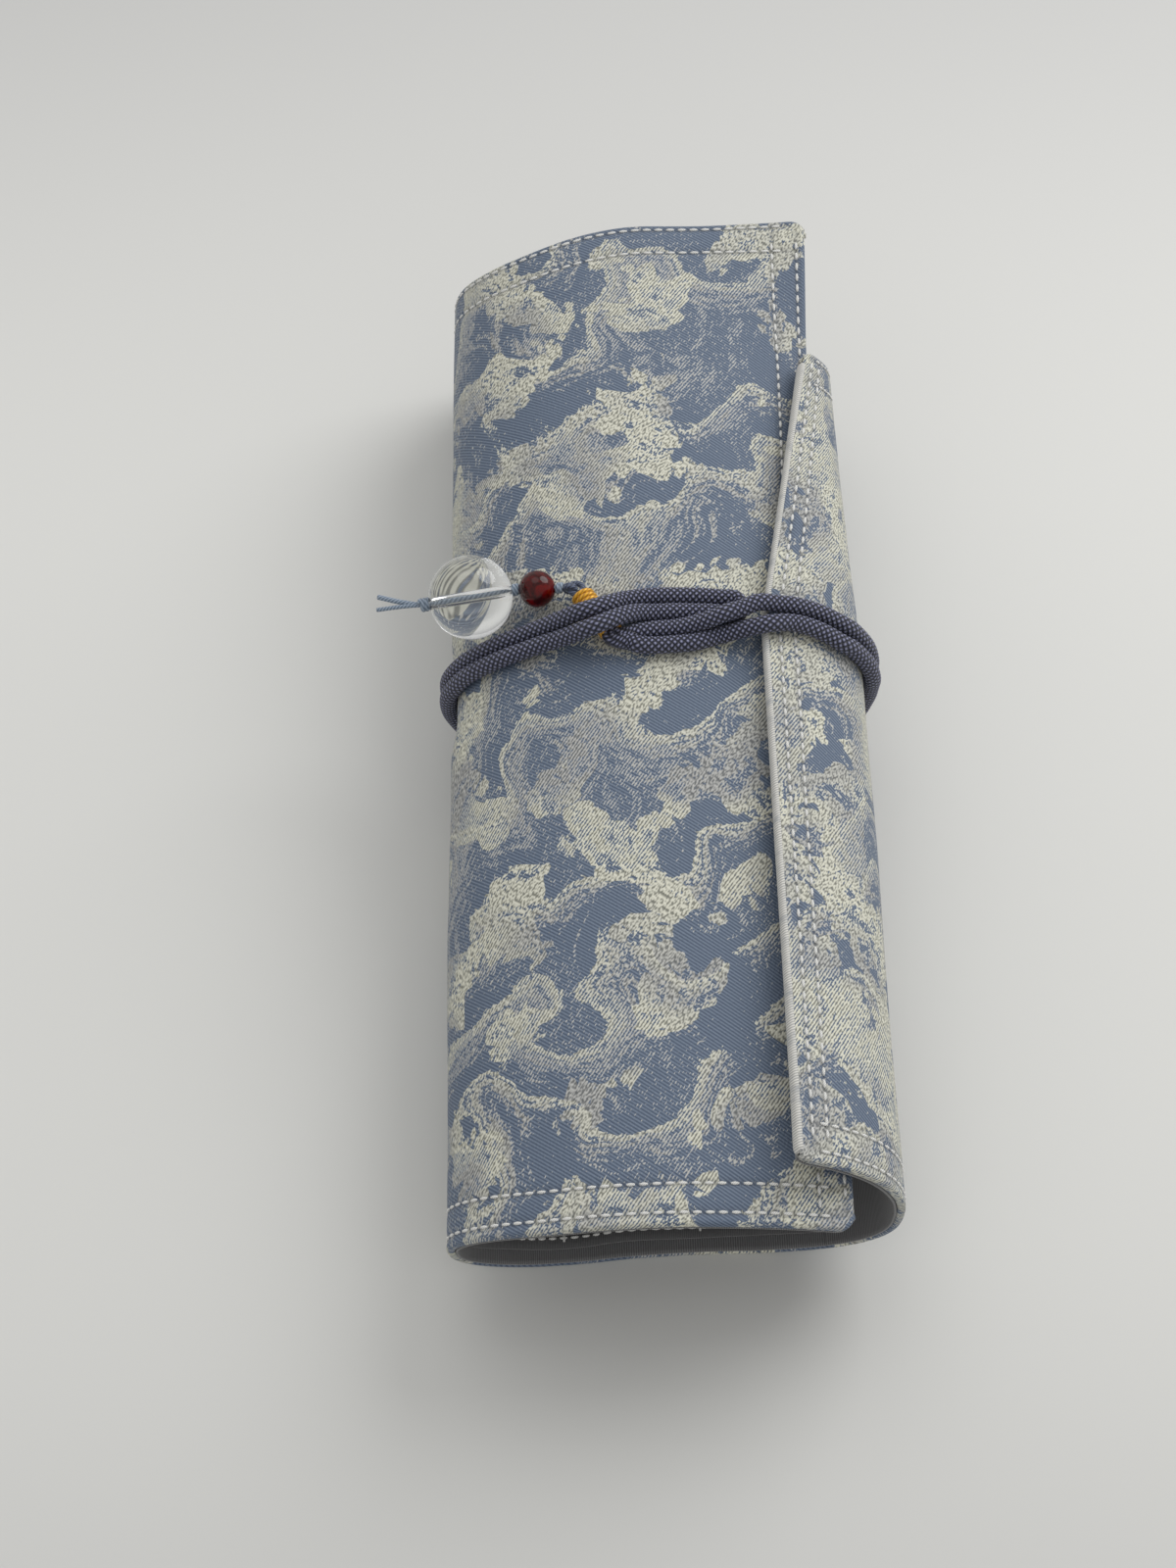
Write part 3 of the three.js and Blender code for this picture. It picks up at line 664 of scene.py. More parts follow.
def sewn_rows(finish, uv, colour):
    """The cloth's colour, with painted shade in the crease of each row of stitches and painted
    shadow at each hole.
    """
    seams = finish.node("ShaderNodeUVMap", {"uv_map": "seams"}).outputs[0]
    holes = None
    beside, along = finish.parts(seams), finish.parts(uv)
    for distance, run in ((beside[0], along[0]), (beside[1], along[1])):
        beat = finish.maths("COSINE", finish.times(run, 2 * math.pi * MM_PER_CM / PITCH))
        pit = finish.times(finish.step(beat, 0.8, 0.98), finish.step(distance, 0.06, 0.02))
        holes = finish.larger(holes, pit)
    # Painted shade along each crease and painted shadow in each hole of the stitch rows
    crease = finish.step(finish.maths("MINIMUM", beside[0], beside[1]), 0.13, 0.02)
    colour = finish.blend(finish.times(crease, 0.22), colour, PAINTED_CREASE_SHADE)
    return finish.blend(finish.times(holes, 0.38), colour, PAINTED_HOLE_SHADOW)


def jacquard():
    """Slate satin ground with figures of paler threads: lobed clumps, and banks that are
    dense along their crests and fade into brushed strokes. Each figure is a density, and
    the threads that show are those that it lifts above a fine grain."""
    finish = Finish("slate_jacquard", Sheen_Weight=0.06, Sheen_Roughness=0.4)
    uv = finish.cloth_uv()
    place = drifted(finish, uv)
    fringe = finish.clouds(place, 6.0, 2.0, 0.7)
    mass = finish.clouds(finish.shifted(place, (4.1, 9.3, 0)), 0.36, 1.0)
    bank, level = layered_banks(finish, place, fringe, mass)
    clumps = lobed_clumps(finish, place, uv, fringe)
    solid = finish.step(clumps, -0.01, 0.04)
    worn = finish.times(finish.clouds(place, 2.6, 2.0, 0.7), 3.4, -1.2, clamp=True)
    inside = finish.minus(1.2, finish.times(finish.step(clumps, 0.04, 0.3), worn))
    density = finish.larger(bank, finish.times(solid, inside))

    twill = finish.stripes(finish.turned(uv, -0.97), 5.4, 0.0, 0.0)
    slanted = finish.shifted(uv, rotation=(0, 0, -0.6), scale=(1.0, 2.2, 1), kind="TEXTURE")
    grain = finish.clouds(slanted, 29.0, 0.0)
    lines = finish.stripes(finish.turned(uv, 0.62), 5.6, 0.0, 0.0)
    lined = finish.times(finish.step(mass, 0.46, 0.52), finish.minus(lines, 0.5))
    thread = finish.times(lined, 0.5, grain)
    lifted = finish.times(thread, 1.5, finish.minus(density, 0.75))
    figure = finish.step(lifted, 0.4, 0.6)

    ground = finish.blend(twill, DEEP_SLATE, PALE_SLATE)
    ground = finish.blend(finish.times(grain, 0.2), ground, SLATE_FLECK)
    # Where the fine grain falls low the figure threads take their darker tone: partly mottle,
    # partly painted shade between threads
    silver = finish.blend(finish.step(thread, 0.3, 0.7), SILVER_MOTTLE_AND_PAINTED_SHADE, SILVER)
    cream = finish.blend(finish.step(thread, 0.3, 0.62), CREAM_MOTTLE_AND_PAINTED_SHADE, CREAM)
    warmth = finish.clouds(finish.shifted(place, (2.7, 6.2, 0)), 0.55, 1.0)
    warm = finish.times(solid, finish.step(warmth, 0.36, 0.56))
    warm = finish.larger(warm, finish.times(finish.step(level, 0.7, 1.0), 0.8))
    colour = finish.blend(figure, ground, finish.blend(warm, silver, cream))
    finish.colour(sewn_rows(finish, uv, colour))
    finish.relief(finish.times(twill, 0.3, finish.times(grain, 1.4)), 0.13, 0.7)
    finish.roughness(grain, 0.6, 0.8)
    return finish.material


def ribbed_cloth(name, dark, light, scale=7.0):
    finish = Finish(name, Roughness=0.85, Sheen_Weight=0.3)
    uv = finish.cloth_uv()
    ribs = finish.stripes(uv, scale, 0.3, 2.0, 2.0)
    wear = finish.clouds(uv, 1.2, 4.0)
    fibre = finish.clouds(finish.shifted(uv, scale=(1, 5, 1)), 20.0, 2.0)
    colour = finish.blend(ribs, dark, light)
    finish.colour(finish.blend(finish.times(wear, 0.35), colour, light))
    finish.relief(finish.times(fibre, 0.5, ribs), 0.1, 0.6)
    return finish.material


def plain_edging():
    finish = Finish("pale_grey_edging", Roughness=0.82, Sheen_Weight=0.1)
    uv = finish.cloth_uv()
    ribs = finish.stripes(finish.turned(uv, 1.2), 7.0, 1.0, 1.0)
    wear = finish.clouds(uv, 2.2, 4.0, 0.65)
    colour = finish.blend(ribs, tone(160, 160, 157), tone(216, 214, 208))
    finish.colour(finish.blend(finish.step(wear, 0.48, 0.72), colour, tone(152, 155, 158)))
    finish.relief(ribs, 0.1, 0.6)
    return finish.material


def felt():
    finish = Finish("stiff_interlining", Roughness=0.95)
    fleck = finish.clouds(finish.body_place(), 1.8, 4.0, 0.7)
    finish.colour(finish.blend(fleck, tone(214, 211, 203), tone(236, 233, 226)))
    finish.relief(fleck, 0.1, 0.5)
    return finish.material


def sewing_thread():
    finish = Finish("pale_stitches", Roughness=0.6, Sheen_Weight=0.3)
    ply = finish.stripes(finish.turned(finish.body_place(), 0.7), 1.1, 0.5)
    finish.colour(finish.blend(ply, tone(182, 183, 182), tone(228, 227, 222)))
    finish.relief(ply, 0.05, 0.5)
    return finish.material


def braid_finish():
    """Two families of strands that cross one over one, each seen as a short tick, with a painted
    highlight on its crown and painted shade in the crevices between the strands.
    """
    finish = Finish("indigo_braid", Roughness=0.48, Sheen_Weight=0.1, Sheen_Roughness=0.35)
    uv = finish.cloth_uv()
    run, around = finish.parts(uv)[:2]
    girth = 2 * math.pi * BRAID_RADIUS
    p = finish.times(run, MM_PER_CM / BRAID_PITCH)
    q = finish.times(around, MM_PER_CM * BRAID_STRANDS / girth)
    a, b = finish.maths("ADD", p, q), finish.minus(p, q)
    cells = finish.maths("ADD", finish.maths("FLOOR", a), finish.maths("FLOOR", b))
    right = finish.maths("FLOORED_MODULO", cells, 2.0)
    a, b = finish.maths("FRACT", a), finish.maths("FRACT", b)
    swap = finish.times(right, finish.minus(a, b))
    across = finish.minus(finish.maths("ADD", b, swap), 0.5)
    along = finish.minus(finish.minus(a, swap), 0.5)
    arch = finish.maths("COSINE", finish.times(across, STRAND_ARCH))
    hump = finish.times(arch, finish.maths("COSINE", finish.times(along, STRAND_FALL)))
    plies = finish.stripes(finish.turned(uv, 0.2), 16.0, 1.0, 1.0)
    # Painted shade in the crevices between the strands, and a painted highlight on the crown of
    # each tick
    colour = finish.blend(finish.step(hump, 0.15, 0.75), tone(12, 13, 21), tone(64, 66, 88))
    painted_highlight = finish.times(finish.step(hump, 0.62, 0.95), 0.8)
    colour = finish.blend(painted_highlight, colour, tone(150, 153, 184))
    finish.colour(finish.blend(finish.times(plies, 0.18), colour, tone(84, 88, 112)))
    finish.relief(hump, 0.4, 0.9)
    return finish.material


def gold_thread():
    finish = Finish("gold_thread", Metallic=0.2, Sheen_Weight=0.2)
    ply = finish.stripes(finish.turned(finish.cloth_uv(), 0.8), 5.0)
    finish.colour(finish.blend(ply, tone(170, 118, 12), tone(230, 172, 34)))
    finish.roughness(ply, 0.5, 0.3)
    finish.relief(ply, 0.04, 0.4)
    return finish.material


def twisted_thread(name, dark, light):
    finish = Finish(name, Roughness=0.6, Sheen_Weight=0.3)
    ply = finish.stripes(finish.turned(finish.cloth_uv(), 0.7), 6.0)
    finish.colour(finish.blend(ply, dark, light))
    finish.relief(ply, 0.08, 0.7)
    return finish.material


def red_stone():
    finish = Finish(
        "dark_red_stone", Roughness=0.1, IOR=1.5, Specular_IOR_Level=0.3,
        Subsurface_Weight=0.3, Subsurface_Radius=(1.0, 0.1, 0.06), Subsurface_Scale=0.002,
    )
    veins = finish.clouds(finish.body_place(), 0.35, 4.0, 0.6, 0.8)
    finish.colour(finish.blend(finish.step(veins, 0.35, 0.7), tone(46, 2, 2), tone(104, 7, 6)))
    return finish.material


def clear_crystal():
    finish = Finish("clear_crystal", Roughness=0.0, IOR=1.5, Transmission_Weight=1.0)
    haze = finish.clouds(finish.body_place(), 0.12, 3.0)
    finish.colour(finish.blend(haze, tone(246, 248, 248), tone(252, 252, 252)))
    return finish.material


brocade_look = jacquard()
lining_look = ribbed_cloth("grey_lining", tone(72, 72, 73), tone(122, 122, 123))
pocket_look = ribbed_cloth("pocket_cloth", tone(58, 58, 59), tone(98, 98, 99), 9.0)
edging_look = plain_edging()
felt_look = felt()
stitch_look = sewing_thread()
braid_look = braid_finish()
gold_look = gold_thread()
blue_look = twisted_thread("pale_blue_thread", tone(84, 100, 118), tone(148, 162, 178))
link_look = twisted_thread("slate_link_thread", tone(38, 46, 66), tone(84, 96, 122))
red_look = red_stone()
crystal_look = clear_crystal()

# Route of the cord, as its maker laid it

# Width over which the cord climbs from the top panel onto the flap
EDGE_STEP = 5


def cloth_top(x, y):
    """Height of the cloth's upper side, with an eased step from the top panel to the flap."""
    limb = float(limb_height(y))
    if x <= 0:
        across = min(1, abs(x) / float(left_width(y))) ** UPPER_SQUARENESS
        return limb + (top_height(y) - limb) * (1 - across) ** (1 / UPPER_SQUARENESS)
    edge = flap_edge(y)
    power, width, crown = flap_crown(y)
    reached = max(x, edge)
    on_flap = limb + crown * (1 - min(1, reached / width) ** power) ** (1 / power)
    share = float(smooth((x - edge + EDGE_STEP) / EDGE_STEP))
    return float(panel_height(min(x, edge), y)) * (1 - share) + on_flap * share


def on_cloth(x, y, radius, lift):
    """Middle of a cord of this radius that lies on the cloth, or is lifted off it."""
    slope = cloth_top(x + 0.5, y) - cloth_top(x - 0.5, y)
    length = math.hypot(slope, 1)
    away = CORD_GAP + radius + lift
    return np.array([x - slope / length * away, y, cloth_top(x, y) + away / length])


def crossing(place, radius=CORD_RADIUS):
    """A point of the cord, given as a share of the half width and in cord diameters."""
    across, along, lift = (*place, 0)[:3]
    y = CORD_PLACE + along * CORD_DIAMETER
    return on_cloth(across * HALF_WIDTH, y, radius, lift * CORD_DIAMETER)


# Shares of the section from which, and up to which, the loop end goes round the roll
UNDER, SHOULDER = 0.13, 0.63
OFF_TABLE = 0.13
# How far the pulled cord leans towards the far end, where it goes round the two sides
LEAN_SHARES = (0.0, 0.04, 0.13, 0.4, 0.44, 0.5, 0.53, 0.56, 0.6, 0.63)
LEAN = (2.5, 4.4, 0.0, 0.0, 1.5, 5.2, 4.4, 3.2, 1.9, 1.7)


def strand_round(offset, start, end, count):
    """One strand of the cord where it lies round the roll, by share of the roll's section."""
    points = []
    for share in np.linspace(start, end, count):
        y = CORD_PLACE + offset + CORD_SKEW * (1 - 2 * share / SHOULDER)
        y += float(np.interp(share, LEAN_SHARES, LEAN))
        x, z, nx, nz = BODY.at(share, y)
        away = CORD_GAP + CORD_RADIUS
        height = max(z + nz * away, BRAID_RADIUS + OFF_TABLE)
        points.append(np.array([x + nx * away, y, height]))
    return points


def run_along(points):
    """Length along a line of points, at each of them."""
    steps = np.linalg.norm(np.diff(points, axis=0), axis=1)
    return np.concatenate([[0], np.cumsum(steps)])


def between(u, start, end, first, second):
    return (end - u) / (end - start) * first + (u - start) / (end - start) * second


CURVE_STEPS = 13


def centripetal(points, count):
    """Points evenly along a smooth curve through the given points, and its length."""
    p = [np.array(q, float) for q in points]
    p = [2 * p[0] - p[1], *p, 2 * p[-1] - p[-2]]
    curve = []
    for k in range(1, len(p) - 2):
        p0, p1, p2, p3 = p[k - 1: k + 3]
        t = [0.0]
        for a, b in ((p0, p1), (p1, p2), (p2, p3)):
            t.append(t[-1] + max(1e-4, float(np.linalg.norm(b - a)) ** 0.5))
        for u in np.linspace(t[1], t[2], CURVE_STEPS)[: None if k == len(p) - 3 else -1]:
            a1 = between(u, t[0], t[1], p0, p1)
            a2 = between(u, t[1], t[2], p1, p2)
            a3 = between(u, t[2], t[3], p2, p3)
            b1 = between(u, t[0], t[2], a1, a2)
            b2 = between(u, t[1], t[3], a2, a3)
            curve.append(between(u, t[1], t[2], b1, b2))
    curve = np.array(curve)
    run = run_along(curve)
    even = np.linspace(0, run[-1], count)
    return np.stack([np.interp(even, run, curve[:, k]) for k in range(3)], -1), run[-1]


TUBE_SIDE = [0.13, 0.21, 0.97]


def tube_mesh(path, radius_at, sides, relief=None):
    """A closed tube along a path, with UV along and around it, and its ends filled."""
    path = np.asarray(path)
    count = len(path)
    tangent = np.gradient(path, axis=0)
    tangent /= np.linalg.norm(tangent, axis=1)[:, None]
    side = np.cross(tangent[0], TUBE_SIDE)
    side /= np.linalg.norm(side)
    run = run_along(path)
    angles = -2 * math.pi * np.arange(sides + 1) / sides
    turned = np.arange(sides + 1) / sides * 2 * math.pi
    places, flat = [], []
    for k in range(count):
        side = side - tangent[k] * float(side @ tangent[k])
        side /= np.linalg.norm(side)
        up = np.cross(tangent[k], side)
        lift = np.zeros(sides + 1) if relief is None else relief(run[k], angles)
        radius = radius_at(run[k], run[-1])
        outward = np.cos(angles)[:, None] * side + np.sin(angles)[:, None] * up
        places.append(path[k] + outward * (radius * (1 + lift))[:, None])
        flat.append(np.stack([np.full(sides + 1, run[k]), turned * radius], -1))
    bm = mapped_grid(count, sides + 1, np.array(places), np.array(flat))
    bmesh.ops.remove_doubles(bm, verts=bm.verts, dist=MERGE)
    rims = [edge for edge in bm.edges if edge.is_boundary]
    bmesh.ops.holes_fill(bm, edges=rims, sides=0)
    return bm


def even(radius):
    """The same radius all along a tube."""
    return lambda run, length: radius


def braid_relief(along, angles):
    """Rise of a round braid, as a share of its radius, where its strands cross."""
    p, q = along / BRAID_PITCH, -angles / (2 * math.pi) * BRAID_STRANDS
    a, b = p + q, p - q
    right = (np.floor(a) + np.floor(b)) % 2 == 1
    a, b = a % 1, b % 1
    across = np.where(right, a, b) - 0.5
    length = np.where(right, b, a) - 0.5
    hump = np.cos(STRAND_ARCH * across) * np.cos(STRAND_FALL * length)
    return BRAID_RISE * hump - BRAID_RISE / 2


RINGS_PER_MM = 5
TAPER_RUN = 6


def braided(name, points, taper=0.0):
    """A run of the braided cord through the given points, tapered at its end or not."""
    length = centripetal(points, 2)[1]
    path = centripetal(points, int(length * RINGS_PER_MM))[0]

    def radius_at(run, length):
        if taper and run > length - TAPER_RUN:
            thinned = taper * float(smooth((run - length + TAPER_RUN) / TAPER_RUN))
            return BRAID_RADIUS * (1 - thinned)
        return BRAID_RADIUS

    bm = tube_mesh(path - MIDDLE, radius_at, 40, braid_relief)
    return new_piece(name, bm, braid_look)


# Points of the cord where it crosses the top: across the roll as a share of its half width, then
# along it and above the cloth in cord diameters
LOOP_FAR = [
    (-0.693, 0.755, 0.065), (-0.618, 0.754, 0.097), (-0.539, 0.769, 0.258),
    (-0.458, 0.76, 0.613), (-0.378, 0.66, 1.16), (-0.321, 0.64, 1.5), (-0.271, 0.76, 1.53),
    (-0.223, 1.1, 1.25), (-0.169, 1.673, 0.645), (-0.097, 2.067, 0.226), (-0.022, 2.243, 0.065),
    (0.084, 2.282, 0.016), (0.183, 2.287, 0), (0.287, 2.26, 0),
]
LOOP_NEAR = [
    (-0.693, -0.379, 0.065), (-0.618, -0.369, 0.097), (-0.542, -0.331, 0.194),
    (-0.464, -0.36, 0.387), (-0.385, -0.451, 0.806), (-0.307, -0.566, 1.38),
    (-0.256, -0.455, 1.54), (-0.215, -0.2, 1.47), (-0.158, 0.36, 1.05), (-0.099, 0.86, 0.48),
    (-0.025, 1.07, 0.097), (0.08, 1.153, 0.032), (0.18, 1.168, 0), (0.252, 1.182, 0),
]
TAIL_FAR = [
    (0.843, 1.016, 0), (0.732, 1.231, 0), (0.628, 1.312, 0.065), (0.545, 1.26, 0.1),
    (0.485, 1.12, 0.4), (0.352, 0.66, 1.3), (0.296, 0.42, 1.22), (0.238, 0.22, 0.85),
    (0.166, 0.12, 0.36), (0.077, 0.02, 0.032), (-0.02, -0.06, 0), (-0.08, -0.16, 0),
]
TAIL_NEAR = [
    (0.835, -0.4, 0), (0.725, -0.054, 0), (0.615, 0.098, 0), (0.501, -0.196, 0.065),
    (0.279, -0.4, 0), (0.165, -0.93, 0), (0.075, -1.09, 0), (-0.024, -1.17, 0),
    (-0.092, -1.08, 0), (-0.134, -0.86, 0),
]
BEND_CENTRE, BEND_RADIUS = (0.338, 1.66), 0.62
TAIL_SHARES = (0.985, 0.9, 0.78, 0.64, 0.48)
TAIL_LEAN_START = 0.7
CORE_ENDS = ((-0.2, -0.551), (-0.354, 2.817))
CORE_RADIUS = 1.45
WHIPPING_RADIUS = 2.0


def core_point(share):
    """A point on the middle line of the cord's bound end."""
    start, end = np.array(CORE_ENDS[0]), np.array(CORE_ENDS[1])
    return crossing(tuple(start + (end - start) * share), WHIPPING_RADIUS)


def loop_points():
    """The cord's loop end: round the roll, over the top, through its bend and back."""
    bend = []
    for degrees in (-70, -25, 25, 70):
        angle = math.radians(degrees)
        across = BEND_CENTRE[0] + BEND_RADIUS * CORD_DIAMETER / HALF_WIDTH * math.cos(angle)
        bend.append(crossing((across, BEND_CENTRE[1] + BEND_RADIUS * math.sin(angle))))
    near_leg = strand_round(-STRAND_OFFSET, UNDER, SHOULDER, 22)
    far_leg = strand_round(STRAND_OFFSET, UNDER, SHOULDER, 22)
    near = [crossing(place) for place in LOOP_NEAR]
    far = [crossing(place) for place in LOOP_FAR]
    return [*near_leg, *near, *bend, *reversed(far), *reversed(far_leg)]


def tail_points(offset, line):
    """One strand of the tail end: up the right side, over the flap and into the binding."""
    over = [crossing(place) for place in line]
    y = CORD_PLACE + CORD_SKEW + offset
    under = strand_round(offset, 0.0, UNDER, 6)
    side = []
    for k, share in enumerate(TAIL_SHARES):
        shift = (over[0][1] - y) * float(smooth((k + 1) / (len(TAIL_SHARES) + 1)))
        shift += LEAN[0] * float(smooth((share - TAIL_LEAN_START) / (1 - TAIL_LEAN_START)))
        x, z, nx, nz = FLAP.at(share, y + shift)
        away = CORD_GAP + CORD_RADIUS
        side.append(np.array([x + nx * away, y + shift, z + nz * away]))
    toward = core_point(0.16) - core_point(0)
    aside = np.array([-toward[1], toward[0], 0.0]) / np.linalg.norm(toward[:2])
    aside *= math.copysign(1, -offset)
    meet = [core_point(0.02) + aside * 0.935, core_point(0.2) + aside * 0.68]
    return [*reversed(under), *side, *over, *meet]


# Pendant, first of the pieces: its thread is the one free cord

# Places along the thread, in the part's frame
BEAD_PLACES = {
    "ring": np.array([-17.254, 14.192, 49.857]),
    "upper": np.array([-19.298, 14.352, 49.857]),
    "red": np.array([-23.508, 14.682, 49.233]),
    "middle": np.array([-27.726, 15.013, 48.608]),
    "crystal": np.array([-36.263, 14.124, 47.673]),
    "end": np.array([-45.091, 13.205, 46.707]),
}
# The link lies about the line on which the pendant lifts
LIFT_AXIS = (0.07817, 0.99694, 0.0)
# How far the two loose ends hang beyond the end knot, and how they sag on the way
TIP_OFFSET, TIP_SAG = np.array([-9.0, 2.4, -0.6]), np.array([0, -0.5, 0.3])
SECOND_OFFSET, SECOND_SAG = np.array([-9.2, 0.1, -1.6]), np.array([0, -0.3, 0.6])
THREAD = 1.0
SECOND_THREAD = 0.84
RED_RADIUS, CRYSTAL_RADIUS = 3.5, 8.1
BORE_GAP, BORE_FLARE, BORE_CHAMFER = 0.3, 0.02, 0.12


def loose_end(offset, sag):
    end = BEAD_PLACES["end"]
    tip = end + offset
    return [end, end * 0.5 + tip * 0.5 + sag, tip]


def pendant_thread():
    start = BEAD_PLACES["ring"] + np.array([0.2, 0, -0.9])
    through = [BEAD_PLACES[key] for key in ("upper", "red", "middle", "crystal")]
    points = [start, *through, *loose_end(TIP_OFFSET, TIP_SAG)]
    path, total = centripetal(points, 120)
    bm = tube_mesh(path, even(THREAD / 2), 14)
    thread = new_piece("pendant_thread", bm, blue_look)
    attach(thread, "pendant")
    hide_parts("bead_thread")
    return thread, path, total


def coil(name, centre, axis, radius, wire, turns, pitch, material, sides=10, per_turn=22):
    """Thread of the given radius (wire), wound about an axis in even turns."""
    axis = np.asarray(axis, float) / np.linalg.norm(axis)
    side = np.cross(axis, [0, 0, 1.0])
    side /= np.linalg.norm(side)
    up = np.cross(side, axis)
    steps = np.linspace(0, 1, int(turns * per_turn))
    angle = 2 * math.pi * turns * steps
    along = (steps - 0.5) * turns * pitch
    path = (
        np.asarray(centre)
        + along[:, None] * axis
        + radius * (np.cos(angle)[:, None] * side + np.sin(angle)[:, None] * up)
    )
    bm = tube_mesh(path, even(wire), sides)
    return new_piece(name, bm, material)


def turned_bead(name, centre, axis, radius, rings, segments, material):
    """A polished round bead with a straight bore, spun from half of its section."""
    bore = THREAD / 2 + BORE_GAP
    tip = math.asin((bore + BORE_FLARE) / radius)
    bm = bmesh.new()
    profile = []
    for angle in np.linspace(tip, math.pi - tip, rings + 1):
        profile.append((radius * math.sin(angle), -radius * math.cos(angle)))
    profile += [(bore, profile[-1][1] - BORE_CHAMFER), (bore, profile[0][1] + BORE_CHAMFER)]
    vertices = [bm.verts.new(Vector((x, 0, z)) * MM) for x, z in profile]
    edges = [bm.edges.new((a, b)) for a, b in zip(vertices, vertices[1:] + vertices[:1])]
    bmesh.ops.spin(
        bm, geom=[*vertices, *edges], cent=(0, 0, 0), axis=(0, 0, 1),
        angle=2 * math.pi, steps=segments, use_merge=True,
    )
    bmesh.ops.remove_doubles(bm, verts=bm.verts, dist=MERGE)
    bmesh.ops.recalc_face_normals(bm, faces=bm.faces)
    turn = Vector((0, 0, 1)).rotation_difference(Vector(axis)).to_matrix().to_4x4()
    bm.transform(Matrix.Translation(Vector(centre) * MM) @ turn)
    return new_piece(name, bm, material)


def pendant():
    thread, path, total = pendant_thread()
    place = BEAD_PLACES
    red_axis = place["middle"] - place["upper"]
    crystal_axis = place["end"] - place["middle"]
    red = turned_bead("dark_red_bead", place["red"], red_axis, RED_RADIUS, 40, 72, red_look)
    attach(red, "small_bead")
    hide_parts("red_bead")
    ball = turned_bead(
        "clear_crystal_ball", place["crystal"], crystal_axis, CRYSTAL_RADIUS, 44, 72, crystal_look
    )
    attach(ball, "large_bead")
    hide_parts("crystal_bead")
    link = coil(
        "thread_link", place["ring"], LIFT_AXIS,
        radius=1.1, wire=0.42, turns=1.9, pitch=0.42, material=link_look, per_turn=26,
    )
    # Radius of each knot and of its thread, its turns and their pitch
    knots = [
        coil(name, place[key], axis, *size, blue_look)
        for name, key, axis, size in (
            ("upper_knot", "upper", red_axis, (0.64, 0.48, 1.8, 0.56)),
            ("middle_knot", "middle", crystal_axis, (0.7, 0.52, 1.6, 0.6)),
            ("end_knot", "end", crystal_axis, (0.8, 0.58, 2.3, 0.68)),
        )
    ]
    tail_path = centripetal(loose_end(SECOND_OFFSET, SECOND_SAG), 30)[0]
    bm = tube_mesh(tail_path, even(SECOND_THREAD / 2), 12)
    second_tail = new_piece("second_thread_tail", bm, blue_look)
    for piece in [link, *knots, second_tail]:
        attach(piece, "pendant")


pendant()

# Tie cord

loop_piece = braided("tie_cord_loop_end", loop_points())
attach(loop_piece, "roll")
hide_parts("cord_loop")

for name, offset, line in (
    ("tie_cord_far_tail", STRAND_OFFSET, TAIL_FAR),
    ("tie_cord_near_tail", -STRAND_OFFSET, TAIL_NEAR),
):
    tail_piece = braided(name, tail_points(offset, line), taper=0.35)
    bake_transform(tail_piece)
    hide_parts("cord_tail")


EYE_RADIUS, EYE_WIRE = 1.25, 0.6
# Shares of the bound end at which its core starts and the middle of its whipping lies
CORE_START, WHIPPING_MIDDLE = 0.05, 0.53


def cord_end():
    """The bound end of the cord: its core under the whipping, and the eye at its tip."""
    start, tip = core_point(CORE_START) - MIDDLE, core_point(1) - MIDDLE
    path = np.linspace(start, tip, 60)
    core_mesh = tube_mesh(path, even(CORE_RADIUS), 20, braid_relief)
    core = new_piece("bound_cord_end", core_mesh, braid_look)
    direction = (tip - start) * np.array([1, 1, 0])
    direction /= np.linalg.norm(direction)
    angle = np.linspace(0, 2 * math.pi, 49)
    aside = np.array([-direction[1], direction[0], 0.0])
    around = np.cos(angle)[:, None] * direction + np.sin(angle)[:, None] * aside
    ring = tip + direction * EYE_RADIUS + EYE_RADIUS * around
    eye = new_piece("cord_eye", tube_mesh(ring, even(EYE_WIRE), 12), link_look)
    middle = core_point(WHIPPING_MIDDLE) - MIDDLE
    axis = core_point(1) - core_point(0.14)
    gold = coil(
        "gold_whipping_thread", middle, axis,
        radius=1.8, wire=0.52, turns=9.6, pitch=1.04, material=gold_look, sides=12, per_turn=30,
    )
    for piece, slot, node in (
        (core, "tie_cord", "cord_tail"),
        (eye, "tie_cord", "cord_tail"),
        (gold, "gold_thread", "gold_whipping"),
    ):
        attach(piece, "flap")
        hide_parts(node)


cord_end()

# Cloth layers

TOP_RIM = [*RIM, (1.0, 0.0), (1.7, 0.0), (2.4, 0.0)]
TOP_RIM_START = 3.2
OUTER_INSET, LINING_INSET, FELT_INSET = 0.35, 0.5, 1.6
OUTER = dict(
    material=brocade_look, depth=0.0, thickness=0.5, spacing=PITCH / 4, row_spacing=1.6, rim=RIM
)
LINING = dict(
    material=lining_look, depth=1.66, thickness=0.44, spacing=1.3, row_spacing=2.2,
    rim=[(0.12, 0.0)],
)
FELT = dict(
    material=felt_look, depth=0.9, thickness=0.4, spacing=2.4, row_spacing=3.6,
    rim=[(FELT_INSET, 0.0)],
)
outer_roll = layer_sheet(
    "outer_cloth_roll", SEAM, TOP_EDGE - TOP_RIM_START, **OUTER, top_rim=TOP_RIM
)
outer_flap = layer_sheet("outer_cloth_flap", FREE_EDGE + OUTER_INSET, SEAM, **OUTER)
lining_roll = layer_sheet("roll_lining", SEAM, TOP_EDGE - LINING_INSET, **LINING)
lining_flap = layer_sheet("flap_lining", FREE_EDGE + LINING_INSET, SEAM, **LINING)
felt_roll = layer_sheet("interlining_roll", SEAM, TOP_EDGE - FELT_INSET, **FELT)
felt_flap = layer_sheet("interlining_flap", FREE_EDGE + FELT_INSET, SEAM, **FELT)

